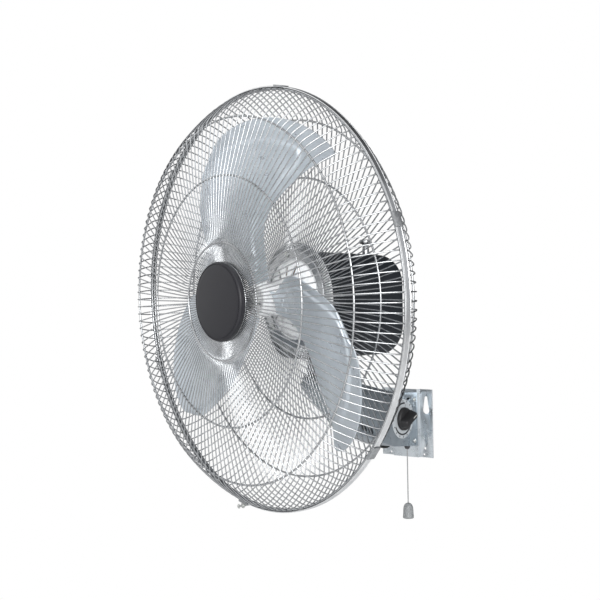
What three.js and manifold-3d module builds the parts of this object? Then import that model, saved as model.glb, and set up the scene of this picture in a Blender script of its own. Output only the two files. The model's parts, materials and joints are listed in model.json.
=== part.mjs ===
// Industrial wall fan: sheet-steel wall bracket with a tapered arm, cast tilting neck, oscillating
// motor head, three sheet blades and a two-part wire guard. Millimetres, +Z up, the wall is Y = 0.
import * as THREE from 'three';
import { mergeVertices } from 'three/addons/utils/BufferGeometryUtils.js';
import Module from 'manifold-3d';

const wasm = await Module();
wasm.setup();

// ---------- driving dimensions ----------
const gap = 0.3;                  // clearance between touching pieces
const sheet = 1.5;                // bracket sheet steel

// wall plate (hat section with a raised web)
const plateWidth = 104;
const plateHeight = 120;
const plateSheet = 2;
const webHalf = 25;               // fold lines at each side of the web
const webRise = 6;                // how far the web stands off the wall
const foldRun = 2;                // width of the sloped fold
const keyholeX = 39;
const keyholeZ = 34;
const keyholeLong = 22;
const keyholeSmallR = 3;
const keyholeLargeR = 6.5;
const plateHoleR = 2.4;
const plateHoleZ = -44;

// arm and control box, side view from the wall (Y is the distance from the wall)
const boxHalf = 25.5;             // half width at the box
const armTipHalf = 20;            // half width at the ear
const boxBack = 8.3;              // back edge, on the web
const boxBottomBack = -39;
const boxBendY = 85;              // vertical bend where the arm starts to narrow
const boxBottomBend = -30.5;
const armKneeY = 186;
const armKneeZ = 2;
const boxTopBack = 55;
const boxTopBend = 62;

const sideScrews = [[19, 43], [19, -29]];   // distance from the wall and height
const screwR = 2;
const screwHeadR = 3.6;
const tabLong = 24;               // plate tabs that the side screws hold

// tilt ear, neck and pan pivot
const tiltY = 270;
const tiltZ = 92;
const earRadius = 16;
const tiltBoltR = 4;
const panY = 250;
const headZ = 229;                // motor axis height
const panRest = -15;              // degrees, the head is turned to one side
const ringAhead = 120;            // guard ring plane in front of the pan axis
const collarR = 26;
const collarTop = -89;            // measured from the motor axis
const collarBottom = -104;
const panPinR = 7;
const panPinFoot = -128;
const bushWall = 3;

// guard
const guardRadius = 325;
const wireR = 1.5;                // half the wire thickness
const wireCount = 36;
const rimWireR = 2.2;
const bandWidth = 10;
const bandSheet = 1.5;
const shoulderStart = 10;         // depth at which the wires start to turn in
const shoulderInset = 22;         // the shoulder and the rings, measured in from the band
const shoulderDepth = 33;
const outerRingInset = 47.5;
const outerRingDepth = 56.5;
const midRingInset = 135.5;
const midRingDepth = 75;
const stepR = 89;
const stepDepth = 81;
const frontInnerR = 55;
const frontInnerDepth = 74.5;
const rearPlateHalf = 6.5;        // flat ring that is screwed to the motor
const guardScrewAngle = 100.7;
const clipCount = 6;
const clipFirst = 80;             // degrees, the others follow clockwise
const clipHalf = 11;
const clipSheet = 1.2;
const clipLip = 2.2;              // how far a clip folds in over the band edges
const badgeR = 60;
const badgeThick = 9;
const badgeCrown = 2.5;

// motor, measured back from the ring plane
const statorR = 66;
const shieldFlangeR = statorR + 22;
const guardScrewR = statorR + 4.8;
const rearPlateR = guardScrewR - 0.3;
const flangeFront = 62;
const flangeThick = 6;
const shieldNose = 42;
const coverWidth = 2 * (statorR + 12);
const coverTop = statorR + 8;
const coverBottom = -statorR - 29;   // room for the gear and its link under the motor
const coverCorner = 52;
const coverRear = 228;
const coverRound = 20;
const coverWall = 2.5;
const motorFlats = 30;            // facets of the fitted round motor parts
const shaftR = 6;
const statorBore = 43;
const statorFront = 94;
const statorLength = 58;
const rotorGap = 1;
const frameBack = 173;
const frameThick = 8;
const gearboxDepth = 34;
const gearboxWall = 3;
const wormR = 7;
const wheelR = 11.7;
const wheelTeeth = 18;
const gearX = wormR + wheelR + gap;
const gearY = 195.5;              // both vertical gear shafts stand here
const gearboxFloor = -69;
const crankGearR = 13.7;
const pinionR = 5;
const crankR = 14;                // throw of the crank pin
const lugOffset = 20;             // fixed link pin beside the pan axis
const knobRise = 92;              // top of the clutch knob over the motor axis
const knobCapR = 10;
const knobStemR = 5.6;

// blades and hub
const hubR = 25;
const hubFront = -16;
const hubBack = 22;
const bladeCount = 3;
const bladeSheet = 2;
const bladePhase = 101.6;         // degrees, seen from the front
const bladeRootR = 42;
const bladeEdgeR = 250;           // where the edges end and the round tip starts
const bladeTipR = 278;
const rivetR = 3;

// controls
const dialR = 34;
const dialY = 58;
const dialZ = 14;
const dialSheet = 1;
const knobR = 20;
const knobHeight = 19;
const spindleR = 3;
const cordX = 16;
const cordY = 29;
const cordR = 1;
const cordFoot = -137;
const bellR = 9.5;
const bellHeight = 27;
const cordTop = -20;
const glandNeckR = 3.4;
const grommetR = 6;
const grommetX = -10;
const grommetY = 62;

// ---------- helpers ----------
const rad = THREE.MathUtils.degToRad;

function finish(color, roughness, metalness) {
  return new THREE.MeshStandardMaterial({ color, roughness, metalness });
}
const zinc = finish(0x9aa5ad, 0.38, 0.85);
const chrome = finish(0xd5d9dc, 0.2, 0.95);
const bladeAlu = finish(0xb4c0ca, 0.42, 0.7);
const castAlu = finish(0xc3c9cd, 0.35, 0.8);
const blackPaint = finish(0x23282c, 0.5, 0.3);
const steel = finish(0x8a8d90, 0.35, 0.9);
const copper = finish(0xb06a35, 0.4, 0.8);
const brass = finish(0xc39a45, 0.35, 0.85);
const greyPlastic = finish(0x8d8f90, 0.55, 0.05);
const blackPlastic = finish(0x17191b, 0.45, 0.05);
const whitePlastic = finish(0xd8d8d0, 0.6, 0.02);

function welded(geometry) {
  const plain = geometry.clone();
  plain.deleteAttribute('normal');
  plain.deleteAttribute('uv');
  const merged = mergeVertices(plain, 1e-4);
  const old = merged.index.array;
  const kept = [];
  for (let i = 0; i < old.length; i += 3) {
    const [a, b, c] = [old[i], old[i + 1], old[i + 2]];
    if (a !== b && b !== c && c !== a) kept.push(a, b, c);
  }
  merged.setIndex(kept);
  return merged;
}

function toSolid(geometry) {
  const shape = welded(geometry);
  const index = shape.index.array;
  return new wasm.Manifold(new wasm.Mesh({
    numProp: 3,
    vertProperties: new Float32Array(shape.attributes.position.array),
    triVerts: new Uint32Array(index),
  }));
}

function toGeometry(solid) {
  const mesh = solid.getMesh();
  const geometry = new THREE.BufferGeometry();
  geometry.setAttribute('position', new THREE.BufferAttribute(new Float32Array(mesh.vertProperties), 3));
  geometry.setIndex(new THREE.BufferAttribute(new Uint32Array(mesh.triVerts), 1));
  return geometry;
}

function join(...geometries) {
  return toGeometry(geometries.map(toSolid).reduce((all, next) => all.add(next)));
}

function cut(body, ...tools) {
  return toGeometry(tools.map(toSolid).reduce((left, tool) => left.subtract(tool), toSolid(body)));
}

function common(first, second) {
  return toGeometry(toSolid(first).intersect(toSolid(second)));
}

function box(x0, x1, y0, y1, z0, z1) {
  const shape = new THREE.BoxGeometry(x1 - x0, y1 - y0, z1 - z0);
  return shape.translate((x0 + x1) / 2, (y0 + y1) / 2, (z0 + z1) / 2);
}

// A turned piece about the Y axis from [radius, y] pairs. A profile off the axis closes on itself.
function turned(profile, segments = 24) {
  const points = profile.map(([r, y]) => new THREE.Vector2(r, y));
  if (profile[0][0] > 0) points.push(points[0].clone());
  const shape = welded(new THREE.LatheGeometry(points, segments));
  return outward(shape);
}

// The same about the Z axis from [radius, z] pairs.
function post(profile, segments = 16) {
  return turned(profile, segments).rotateX(Math.PI / 2);
}

// The same about the X axis from [radius, x] pairs.
function axle(profile, segments = 16) {
  return turned(profile, segments).rotateZ(-Math.PI / 2);
}

function volumeOf(geometry) {
  const p = geometry.attributes.position;
  const index = geometry.index.array;
  const a = new THREE.Vector3();
  const b = new THREE.Vector3();
  const c = new THREE.Vector3();
  let sum = 0;
  for (let i = 0; i < index.length; i += 3) {
    a.fromBufferAttribute(p, index[i]);
    b.fromBufferAttribute(p, index[i + 1]);
    c.fromBufferAttribute(p, index[i + 2]);
    sum += a.dot(b.cross(c));
  }
  return sum / 6;
}

// Turns a closed geometry so that its faces point out.
function outward(geometry) {
  if (volumeOf(geometry) >= 0) return geometry;
  const index = geometry.index.array;
  for (let i = 0; i < index.length; i += 3) [index[i], index[i + 1]] = [index[i + 1], index[i]];
  return geometry;
}

function fromQuads(points, quads) {
  const index = [];
  for (const [a, b, c, d] of quads) index.push(a, b, c, a, c, d);
  const geometry = new THREE.BufferGeometry();
  geometry.setAttribute('position', new THREE.Float32BufferAttribute(points.flat(), 3));
  geometry.setIndex(index);
  return geometry;
}

// Skins a row of equal rings of points and closes both ends.
function loft(rings) {
  const count = rings[0].length;
  const shape = fromQuads(rings.flat(), []);
  const index = [];
  for (let j = 0; j + 1 < rings.length; j++) {
    for (let i = 0; i < count; i++) {
      const a = j * count + i;
      const b = j * count + (i + 1) % count;
      index.push(a, b, b + count, a, b + count, a + count);
    }
  }
  for (const [start, flip] of [[0, true], [(rings.length - 1) * count, false]]) {
    const flat = rings[start / count].map((p) => new THREE.Vector2(...planar(p, rings[start / count])));
    for (const [a, b, c] of THREE.ShapeUtils.triangulateShape(flat, [])) {
      const turn = THREE.ShapeUtils.area(flat) > 0 ? flip : !flip;
      index.push(...(turn ? [start + a, start + c, start + b] : [start + a, start + b, start + c]));
    }
  }
  shape.setIndex(index);
  return outward(shape);
}

// Drops the axis along which a flat ring has no extent.
function planar(point, ring) {
  const spans = [0, 1, 2].map((k) => {
    const values = ring.map((p) => p[k]);
    return Math.max(...values) - Math.min(...values);
  });
  const drop = spans.indexOf(Math.min(...spans));
  return point.filter((_, k) => k !== drop);
}

// Extrudes a side view ([distance from wall, z] pairs) across the width.
function sideExtrude(outline, halfWidth) {
  return loft([-halfWidth, halfWidth].map((x) => outline.map(([y, z]) => [x, -y, z])));
}

// Extrudes a plan view ([x, distance from wall] pairs) upwards.
function planExtrude(outline, low, high) {
  return loft([low, high].map((z) => outline.map(([x, y]) => [x, -y, z])));
}

function arc(cx, cy, r, from, to, steps) {
  return Array.from({ length: steps + 1 }, (_, i) => {
    const a = rad(from + (to - from) * i / steps);
    return [cx + r * Math.cos(a), cy + r * Math.sin(a)];
  });
}

// ---------- scene graph ----------
const group = new THREE.Group();
const neck = new THREE.Group();
const head = new THREE.Group();
const fan = new THREE.Group();           // origin on the guard ring plane, -Y is the front
head.position.set(0, -panY, headZ);
head.rotation.z = rad(panRest);
fan.position.set(0, -ringAhead, 0);
head.add(fan);
group.add(neck, head);

function node(parent, name, geometry, material) {
  const mesh = new THREE.Mesh(geometry, material);
  mesh.name = name;
  parent.add(mesh);
  return mesh;
}

// ---------- wall plate ----------
function hatProfile(inset) {
  const half = plateWidth / 2;
  const rise = webRise;
  const front = [[-half, inset], [-webHalf - foldRun, inset], [-webHalf, rise + inset],
    [webHalf, rise + inset], [webHalf + foldRun, inset], [half, inset]];
  return front;
}

function keyholeTool(x) {
  const top = keyholeZ + keyholeLong / 2;
  const foot = keyholeZ - keyholeLong / 2;
  const outline = [...arc(x, top, keyholeSmallR, 0, 180, 6), ...arc(x, foot, keyholeLargeR, 180, 360, 8)];
  return loft([-5, 1].map((y) => outline.map(([px, pz]) => [px, y, pz])));
}

function holeAlongY(x, z, r, y0, y1, segments = 12) {
  return turned([[0, y0], [r, y0], [r, y1], [0, y1]], segments).translate(x, 0, z);
}

function wallPlate() {
  const back = hatProfile(0);
  const front = hatProfile(plateSheet).reverse();
  const plate = planExtrude([...back, ...front], -plateHeight / 2, plateHeight / 2);
  const tools = [];
  for (const side of [-1, 1]) {
    tools.push(keyholeTool(side * keyholeX));
    tools.push(holeAlongY(side * (keyholeX - 3), plateHoleZ, plateHoleR, -5, 1));
    tools.push(holeAlongY(side * (keyholeX - 5), plateHoleZ - 11, plateHoleR * 0.8, -5, 1));
  }
  const tabEdge = boxHalf - sheet - gap;
  const tabs = [-1, 1].map((side) => box(Math.min(side * tabEdge, side * (tabEdge - plateSheet)),
    Math.max(side * tabEdge, side * (tabEdge - plateSheet)), -webRise - tabLong, -webRise - 1, -34, 50));
  for (const [y, z] of sideScrews) tools.push(holeAlongX(y, z, screwR + gap, -boxHalf, boxHalf, 10));
  return cut(join(plate, ...tabs), ...tools);
}
node(group, 'wall_plate', wallPlate(), zinc);

// ---------- arm and control box ----------
const earTop = tiltZ + earRadius;
const topSlope = (earTop - boxTopBend) / (tiltY - boxBendY);

function armTopAt(y) {
  return y < boxBendY
    ? boxTopBack + (boxTopBend - boxTopBack) * (y - boxBack) / (boxBendY - boxBack)
    : boxTopBend + topSlope * (y - boxBendY);
}

// The inner outline runs out through the open back and top.
function armOutline(inset, raise) {
  const r = earRadius - inset;
  const back = boxBack - (raise ? 2 : 0);
  return [[back, boxBottomBack + inset], [boxBendY, boxBottomBend + inset],
    [armKneeY, armKneeZ + inset], ...arc(tiltY, tiltZ, r, -62, 90, 10),
    ...(raise ? [[tiltY, tiltZ + earRadius + raise]] : []),
    [boxBendY, boxTopBend + raise], [back, boxTopBack + raise]];
}

function armPlan(inset) {
  const tip = tiltY + earRadius + 2;
  return [[-boxHalf + inset, boxBack - 4], [-boxHalf + inset, boxBendY], [-armTipHalf + inset, tiltY],
    [-armTipHalf + inset, tip], [armTipHalf - inset, tip], [armTipHalf - inset, tiltY],
    [boxHalf - inset, boxBendY], [boxHalf - inset, boxBack - 4]];
}

function slotAcross(y, z, length, width, angle) {
  const h = length / 2;
  const outline = [...arc(h, 0, width / 2, -90, 90, 4), ...arc(-h, 0, width / 2, 90, 270, 4)];
  const shape = loft([boxHalf - 8, boxHalf + 4].map((x) => outline.map(([a, b]) => [x, a, b])));
  return shape.rotateX(rad(angle)).translate(0, -y, z);
}

function holeAlongX(y, z, r, x0, x1, segments = 16) {
  return axle([[0, x0], [r, x0], [r, x1], [0, x1]], segments).translate(0, -y, z);
}

function armChannel() {
  const outer = common(sideExtrude(armOutline(0, 0), boxHalf), planExtrude(armPlan(0), -60, 150));
  const inner = common(sideExtrude(armOutline(sheet, 20), boxHalf), planExtrude(armPlan(sheet), -60, 170));
  const tools = [inner,
    holeAlongX(dialY, dialZ, spindleR + 2.5, boxHalf - 4, boxHalf + 3),
    holeAlongX(tiltY, tiltZ, tiltBoltR + gap, -boxHalf, boxHalf),
    slotAcross(36, 47, 12, 3.4, 4),
    post([[0, -60], [glandNeckR + gap, -60], [glandNeckR + gap, -20], [0, -20]], 12)
      .translate(cordX, -cordY, 0),
    post([[0, -60], [grommetR + gap, -60], [grommetR + gap, -20], [0, -20]], 16)
      .translate(grommetX, -grommetY, 0)];
  for (let i = 0; i < 4; i++) tools.push(slotAcross(150 + i * 9, 4 + i * 3.2, 9, 3.6, -58));
  tools.push(box(-armTipHalf + sheet, armTipHalf - sheet, -tiltY - 9, -tiltY + 30, tiltZ + 10, tiltZ + 50));
  for (const [y, z] of sideScrews) tools.push(holeAlongX(y, z, screwR + gap, -boxHalf - 2, boxHalf + 2, 10));
  return cut(outer, ...tools);
}

node(group, 'arm_channel', armChannel(), zinc);

function armCover() {
  const end = tiltY - earRadius - 30;
  const low = [[boxBack + sheet + gap, 0], [boxBendY, 0], [end, 0]]
    .map(([y]) => [y, armTopAt(y) - sheet]);
  const high = [...low].reverse().map(([y, z]) => [y, z + sheet]);
  return common(sideExtrude([...low, ...high], boxHalf), planExtrude(armPlan(sheet + gap), -60, 170));
}
node(group, 'arm_cover', armCover(), zinc);

// ---------- inside the control box ----------
const inside = boxHalf - sheet - gap;

function sideScrew(side, y, z) {
  const headX = boxHalf + gap;
  const profile = [[0, headX + 1.8], [screwHeadR * 0.7, headX + 1.8], [screwHeadR, headX + 0.8],
    [screwHeadR, headX], [screwR, headX], [screwR, inside - plateSheet - 2], [0, inside - plateSheet - 2]];
  const screw = axle(profile, 8);
  if (side < 0) screw.rotateZ(Math.PI);
  return screw.translate(0, -y, z);
}
for (const [i, [y, z]] of sideScrews.entries()) {
  node(group, `side_screw_right_${i + 1}`, sideScrew(1, y, z), steel);
  node(group, `side_screw_left_${i + 1}`, sideScrew(-1, y, z), steel);
}

function chamferedBox(x0, x1, y0, y1, z0, z1, c) {
  const outline = [[x0 + c, y0], [x1 - c, y0], [x1, y0 + c], [x1, y1 - c], [x1 - c, y1], [x0 + c, y1],
    [x0, y1 - c], [x0, y0 + c]];
  return planExtrude(outline, z0, z1);
}

node(group, 'dial_plate', axle([[spindleR + 2, boxHalf + gap], [dialR, boxHalf + gap],
  [dialR, boxHalf + gap + dialSheet], [spindleR + 2, boxHalf + gap + dialSheet]], 40)
  .translate(0, -dialY, dialZ), zinc);
node(group, 'speed_switch', chamferedBox(1, inside, dialY - 16, dialY + 16, dialZ - 16, dialZ + 16, 2),
  blackPlastic);
node(group, 'run_capacitor', chamferedBox(-inside, -9, 32, 78, 8, 50, 4), whitePlastic);
node(group, 'terminal_block', chamferedBox(-inside, -12, 34, 76, -20, 0, 1.5), whitePlastic);
node(group, 'pull_switch', chamferedBox(cordX - 8, inside - plateSheet - gap, cordY - 10, cordY + 11, cordTop + gap, 2, 1),
  blackPlastic);

function boxBottomAt(y) {
  return boxBottomBack + (boxBottomBend - boxBottomBack) * (y - boxBack) / (boxBendY - boxBack);
}

// A snap-in bush with a bore, held by its lips above and below the bottom sheet.
function bottomBush(x, y, neckR, boreR, flangeR, nose) {
  const slope = (boxBottomBend - boxBottomBack) / (boxBendY - boxBack);
  const under = boxBottomAt(y) - slope * flangeR - gap;
  const over = boxBottomAt(y) + sheet + slope * (neckR + 1) + gap;
  return post([[boreR, under - nose], [neckR, under - nose], [flangeR, under - 2], [flangeR, under],
    [neckR, under], [neckR, over], [neckR + 1, over + 1], [neckR, over + 3], [boreR, over + 3]], 12)
    .translate(x, -y, 0);
}
node(group, 'pull_gland', bottomBush(cordX, cordY, glandNeckR, cordR + 0.5, glandNeckR + 1.6, 5), whitePlastic);
node(group, 'supply_grommet', bottomBush(grommetX, grommetY, grommetR, 3.5, grommetR + 3, 4), blackPlastic);

// ---------- speed knob and pull ----------
function speedKnob() {
  const x0 = boxHalf + 2 * gap + dialSheet;
  const x1 = x0 + knobHeight;
  const skirt = axle([[0, x0], [knobR, x0], [knobR - 0.6, x0 + 5], [knobR - 3, x0 + 7.5], [0, x0 + 7.5]], 28);
  const grip = loft([[x0 + 6, 8.5, knobR + 1.5], [x1 - 3, 6.5, knobR], [x1, 4.5, knobR - 3]]
    .map(([x, half, long]) => [[-half, -long + 4], [-half + 3, -long], [half - 3, -long], [half, -long + 4],
      [half, long - 4], [half - 3, long], [-half + 3, long], [-half, long - 4]].map(([y, z]) => [x, y, z])));
  const spindle = axle([[0, inside + gap], [spindleR, inside + gap], [spindleR, x0 + 1], [0, x0 + 1]], 12);
  return join(skirt, grip, spindle).translate(0, -dialY, dialZ);
}
node(group, 'speed_knob', speedKnob(), blackPlastic);

function pullCord() {
  return post([[0, cordFoot], [cordR, cordFoot], [cordR, cordTop], [0, cordTop]], 8).translate(cordX, -cordY, 0);
}
node(group, 'pull_cord', pullCord(), greyPlastic);

function pullBell() {
  const top = cordFoot - gap;
  const foot = top - bellHeight;
  return post([[0, top], [2.2, top], [4.4, top - 1], [6.9, top - 3.6], [8.4, top - 7.4], [8.9, top - 12],
    [bellR, foot + 2], [bellR - 0.8, foot], [0, foot]], 20).translate(cordX, -cordY, 0);
}
node(group, 'pull_bell', pullBell(), greyPlastic);

// ---------- tilt joint and neck ----------
const lugHalf = armTipHalf - sheet - gap;

function tiltBolt() {
  const seat = armTipHalf + gap;
  const hex = axle([[0, seat], [7.5, seat], [7.5, seat + 5.5], [0, seat + 5.5]], 6);
  const shank = axle([[0, -seat - 9], [tiltBoltR, -seat - 9], [tiltBoltR, seat + 1], [0, seat + 1]], 16);
  return join(hex, shank).translate(0, -tiltY, tiltZ);
}
node(group, 'tilt_bolt', tiltBolt(), steel);
function tiltNut() {
  const seat = -armTipHalf - gap;
  const hex = axle([[0, seat], [7.5, seat], [7.5, seat - 7], [0, seat - 7]], 6).translate(0, -tiltY, tiltZ);
  return cut(hex, holeAlongX(tiltY, tiltZ, tiltBoltR + gap, seat - 8, seat + 1));
}
node(group, 'tilt_nut', tiltNut(), steel);

function neckCasting() {
  const low = headZ + collarBottom;
  const high = headZ + collarTop;
  const collar = post([[0, low], [collarR, low], [collarR, high - 2], [collarR - 2, high], [0, high]], 32)
    .translate(0, -panY, 0);
  const lug = sideExtrude([[panY - 18, low + 1], [tiltY - 15, tiltZ - 4],
    ...arc(tiltY, tiltZ, earRadius - sheet - 1.5, 195, 440, 12), [tiltY + 1, low + 1]], lugHalf);
  const linkPin = post([[0, high - 1], [2.5, high - 1], [2.5, high + 4.5], [0, high + 4.5]], 12)
    .translate(lugOffset, -panY, 0);
  const bore = panPinR + gap + bushWall + gap;
  return cut(join(collar, lug, linkPin),
    post([[0, headZ + panPinFoot - gap], [bore, headZ + panPinFoot - gap], [bore, high + 1], [0, high + 1]], 24)
      .translate(0, -panY, 0),
    holeAlongX(tiltY, tiltZ, tiltBoltR + gap, -lugHalf - 1, lugHalf + 1));
}
node(neck, 'neck_casting', neckCasting(), castAlu);

function panBush() {
  const bore = panPinR + gap;
  return post([[bore, headZ + panPinFoot], [bore + bushWall, headZ + panPinFoot],
    [bore + bushWall, headZ + collarTop], [bore, headZ + collarTop]]).translate(0, -panY, 0);
}
node(neck, 'pan_bush', panBush(), brass);

// The link runs from the fixed lug pin to the crank pin under the gearbox.
const crankReach = gearY - ringAhead;      // crank shaft behind the pan axis
const linkLength = crankReach;

// Where two circles meet, on the side of larger y.
function circlesMeet(ax, ay, ar, bx, by, br) {
  const d = Math.hypot(bx - ax, by - ay);
  const along = (ar * ar - br * br + d * d) / (2 * d);
  const off = Math.sqrt(ar * ar - along * along);
  const ux = (bx - ax) / d;
  const uy = (by - ay) / d;
  const candidates = [1, -1].map((s) => [ax + ux * along - s * uy * off, ay + uy * along + s * ux * off]);
  return candidates.sort((p, q) => q[0] - p[0])[0];
}

// The lug pin as the turned head sees it, and the crank pin that closes the linkage.
const pan = rad(panRest);
const lugInHead = [lugOffset * Math.cos(pan), ringAhead - lugOffset * Math.sin(pan)];
const crankPin = circlesMeet(0, gearY, crankR, lugInHead[0], lugInHead[1], linkLength);

function crankLink() {
  const z0 = collarTop + gap;
  const thick = 3;
  const dx = crankPin[0] - lugInHead[0];
  const dy = crankPin[1] - lugInHead[1];
  const turn = Math.atan2(-dx, dy);
  const outline = [...arc(0, linkLength, 5, -53, 233, 8), ...arc(0, 0, 5.5, 123, 417, 8)];
  const bar = loft([z0, z0 + thick].map((z) => outline.map(([x, y]) => [x, y, z])));
  const eye = post([[0, z0 - 1], [2.5 + gap, z0 - 1], [2.5 + gap, z0 + thick + 1], [0, z0 + thick + 1]], 12);
  return cut(bar, eye).rotateZ(turn).translate(lugInHead[0], lugInHead[1], 0);
}
node(fan, 'crank_link', crankLink(), steel);

// ---------- motor ----------
function motorShield() {
  const spigotR = statorR + gap;
  const bearing = 16 + gap;
  const body = turned([[bearing, shieldNose], [24, shieldNose], [27, shieldNose + 5], [50, shieldNose + 11],
    [62, flangeFront - 2], [62.5, flangeFront], [shieldFlangeR, flangeFront],
    [shieldFlangeR, flangeFront + flangeThick], [spigotR + 4, flangeFront + flangeThick],
    [spigotR + 4, statorFront + 12], [spigotR, statorFront + 12], [spigotR, flangeFront + 4],
    [50, shieldNose + 15], [27, shieldNose + 9], [24, shieldNose + 18], [bearing, shieldNose + 18]], motorFlats);
  const tools = [];
  for (let k = 0; k < 3; k++) {
    for (const off of [-24.5, 0, 24.5]) {
      const vent = loft([shieldNose, flangeFront + 8].map((y) => [...arc(0, 50, 3, 0, 180, 3),
        ...arc(0, 38, 3, 180, 360, 3)].map(([x, z]) => [x, y, z])));
      tools.push(vent.rotateY(rad(-(9 + off + 120 * k))));
    }
    const a = rad(39 + 120 * k);
    tools.push(turned([[0, shieldNose], [3, shieldNose], [3, flangeFront + 8], [0, flangeFront + 8]], 8)
      .translate(41 * Math.cos(a), 0, 41 * Math.sin(a)));
    const b = rad(guardScrewAngle + 120 * k);
    tools.push(turned([[0, flangeFront - 1], [screwR + gap, flangeFront - 1],
      [screwR + gap, flangeFront + flangeThick + 1], [0, flangeFront + flangeThick + 1]], 8)
      .translate(guardScrewR * Math.cos(b), 0, guardScrewR * Math.sin(b)));
  }
  return cut(body, ...tools);
}
node(fan, 'motor_shield', motorShield(), castAlu);

function coverSection(inset, y) {
  const half = coverWidth / 2 - inset;
  const top = coverTop - inset;
  const foot = coverBottom + inset;
  const r = coverCorner - inset;
  return [...arc(half - r, top - r, r, 0, 90, 6), ...arc(-half + r, top - r, r, 90, 180, 6),
    ...arc(-half + r, foot + r, r, 180, 270, 6), ...arc(half - r, foot + r, r, 270, 360, 6)]
    .map(([x, z]) => [x, y, z]);
}

function motorCover() {
  const front = flangeFront + flangeThick + gap;
  const rounded = (r, from, to, steps) => arc(0, 0, r, from, to, steps)
    .map(([c, s]) => coverSection(coverRound - c, coverRear - coverRound + s));
  const shell = loft([...rounded(coverRound, 90, 0, 4), coverSection(0, front), coverSection(coverWall, front),
    ...rounded(coverRound - coverWall, 0, 90, 3)]);
  return cut(shell,
    post([[0, 40], [knobStemR + 0.6, 40], [knobStemR + 0.6, 100], [0, 100]], 16).translate(gearX, gearY, 0),
    post([[0, -110], [collarR + 2, -110], [collarR + 2, -80], [0, -80]], 32).translate(0, ringAhead, 0));
}
node(fan, 'motor_cover', motorCover(), blackPaint);

function annulus(r0, r1, y0, y1, segments = 24) {
  return turned([[r0, y0], [r1, y0], [r1, y1], [r0, y1]], segments);
}
const statorEnd = statorFront + statorLength;
node(fan, 'stator_core', annulus(statorBore, statorR, statorFront, statorEnd, motorFlats), steel);
node(fan, 'winding_front', turned([[statorBore + 3, statorFront - gap], [statorBore + 3, statorFront - 15],
  [statorBore + 7, statorFront - 19], [statorR - 7, statorFront - 19], [statorR - 3, statorFront - 14],
  [statorR - 3, statorFront - gap]]), copper);
node(fan, 'winding_rear', turned([[statorBore + 3, statorEnd + gap], [statorBore + 3, statorEnd + 15],
  [statorBore + 7, statorEnd + 19], [statorR - 7, statorEnd + 19], [statorR - 3, statorEnd + 14],
  [statorR - 3, statorEnd + gap]]), copper);
node(fan, 'bearing_front', annulus(shaftR + gap, 16, shieldNose + 6, shieldNose + 17, 24), steel);
node(fan, 'bearing_rear', annulus(shaftR + gap, 16, frameBack, frameBack + frameThick - 1, 24), steel);

function rearFrame() {
  const spigotR = statorR + gap;
  const end = frameBack + frameThick;
  const disc = turned([[16 + gap, frameBack], [16 + gap, end], [spigotR + 4, end], [spigotR + 4, statorEnd - 10],
    [spigotR, statorEnd - 10], [spigotR, frameBack]], motorFlats);
  const bracket = box(-14, 14, ringAhead - 14, frameBack + 1, collarTop + 5, -spigotR - 2);
  const pinHole = post([[0, collarTop], [panPinR + gap, collarTop], [panPinR + gap, -50], [0, -50]], 20)
    .translate(0, ringAhead, 0);
  return cut(join(disc, bracket), pinHole);
}
node(fan, 'rear_frame', rearFrame(), castAlu);

function panPin() {
  const seat = collarTop + 5 - gap;
  return post([[0, panPinFoot + gap], [panPinR, panPinFoot + gap], [panPinR, collarTop + gap],
    [panPinR + 2.5, collarTop + gap], [panPinR + 2.5, seat], [panPinR, seat], [panPinR, -statorR - 3], [0, -statorR - 3]], 20).translate(0, ringAhead, 0);
}
node(fan, 'pan_pin', panPin(), steel);

function gearboxCase() {
  const front = frameBack + frameThick + gap;
  const back = front + gearboxDepth;
  const w = gearboxWall;
  return cut(box(-17, 36, front, back, gearboxFloor - w, 34), box(-17 + w, 36 - w, front - 1, back - w, gearboxFloor, 31),
    post([[0, 20], [knobStemR + gap, 20], [knobStemR + gap, 40], [0, 40]], 16).translate(gearX, gearY, 0),
    post([[0, -80], [4 + gap, -80], [4 + gap, -60], [0, -60]], 16).translate(0, gearY, 0));
}
node(fan, 'gearbox_case', gearboxCase(), castAlu);

function gearOutline(tipR, teeth, depth) {
  const points = [];
  for (let i = 0; i < teeth; i++) {
    for (const [share, r] of [[-0.32, tipR - depth], [-0.14, tipR], [0.14, tipR], [0.32, tipR - depth]]) {
      const a = 2 * Math.PI * (i + share) / teeth;
      points.push([r * Math.cos(a), r * Math.sin(a)]);
    }
  }
  return points;
}

function gear(tipR, teeth, depth, z0, z1) {
  return loft([z0, z1].map((z) => gearOutline(tipR, teeth, depth).map(([x, y]) => [x, y, z])));
}

// The wheel idles on the pinion shaft while the clutch knob is up.
function wormWheel() {
  const bore = post([[0, -6], [4 + gap, -6], [4 + gap, 6], [0, 6]], 12);
  return cut(gear(wheelR, wheelTeeth, 2, -5, 5), bore).translate(gearX, gearY, 0);
}
node(fan, 'worm_wheel', wormWheel(), brass);

function pinionShaft() {
  const shaft = post([[0, gearboxFloor + gap], [4, gearboxFloor + gap], [4, -9], [6.5, -9], [6.5, -5 - gap],
    [4, -5 - gap], [4, 20], [0, 20]], 12);
  return join(gear(pinionR, 9, 1.2, -38, -25), shaft).translate(gearX, gearY, 0);
}
node(fan, 'pinion_shaft', pinionShaft(), steel);

function crankGear() {
  const disc = gearboxFloor - gearboxWall - gap;
  const body = post([[0, disc - 6.5], [crankR + 3.5, disc - 6.5], [crankR + 3.5, disc], [4, disc], [4, -27], [0, -27]]);
  const pinFoot = collarTop + gap + 3 + gap;
  const pin = post([[0, pinFoot], [2.5, pinFoot], [2.5, disc - 5], [0, disc - 5]], 12)
    .translate(crankPin[0], crankPin[1] - gearY, 0);
  return join(body, gear(crankGearR, 20, 1.5, -37, -26), pin).translate(0, gearY, 0);
}
node(fan, 'crank_gear', crankGear(), steel);

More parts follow.
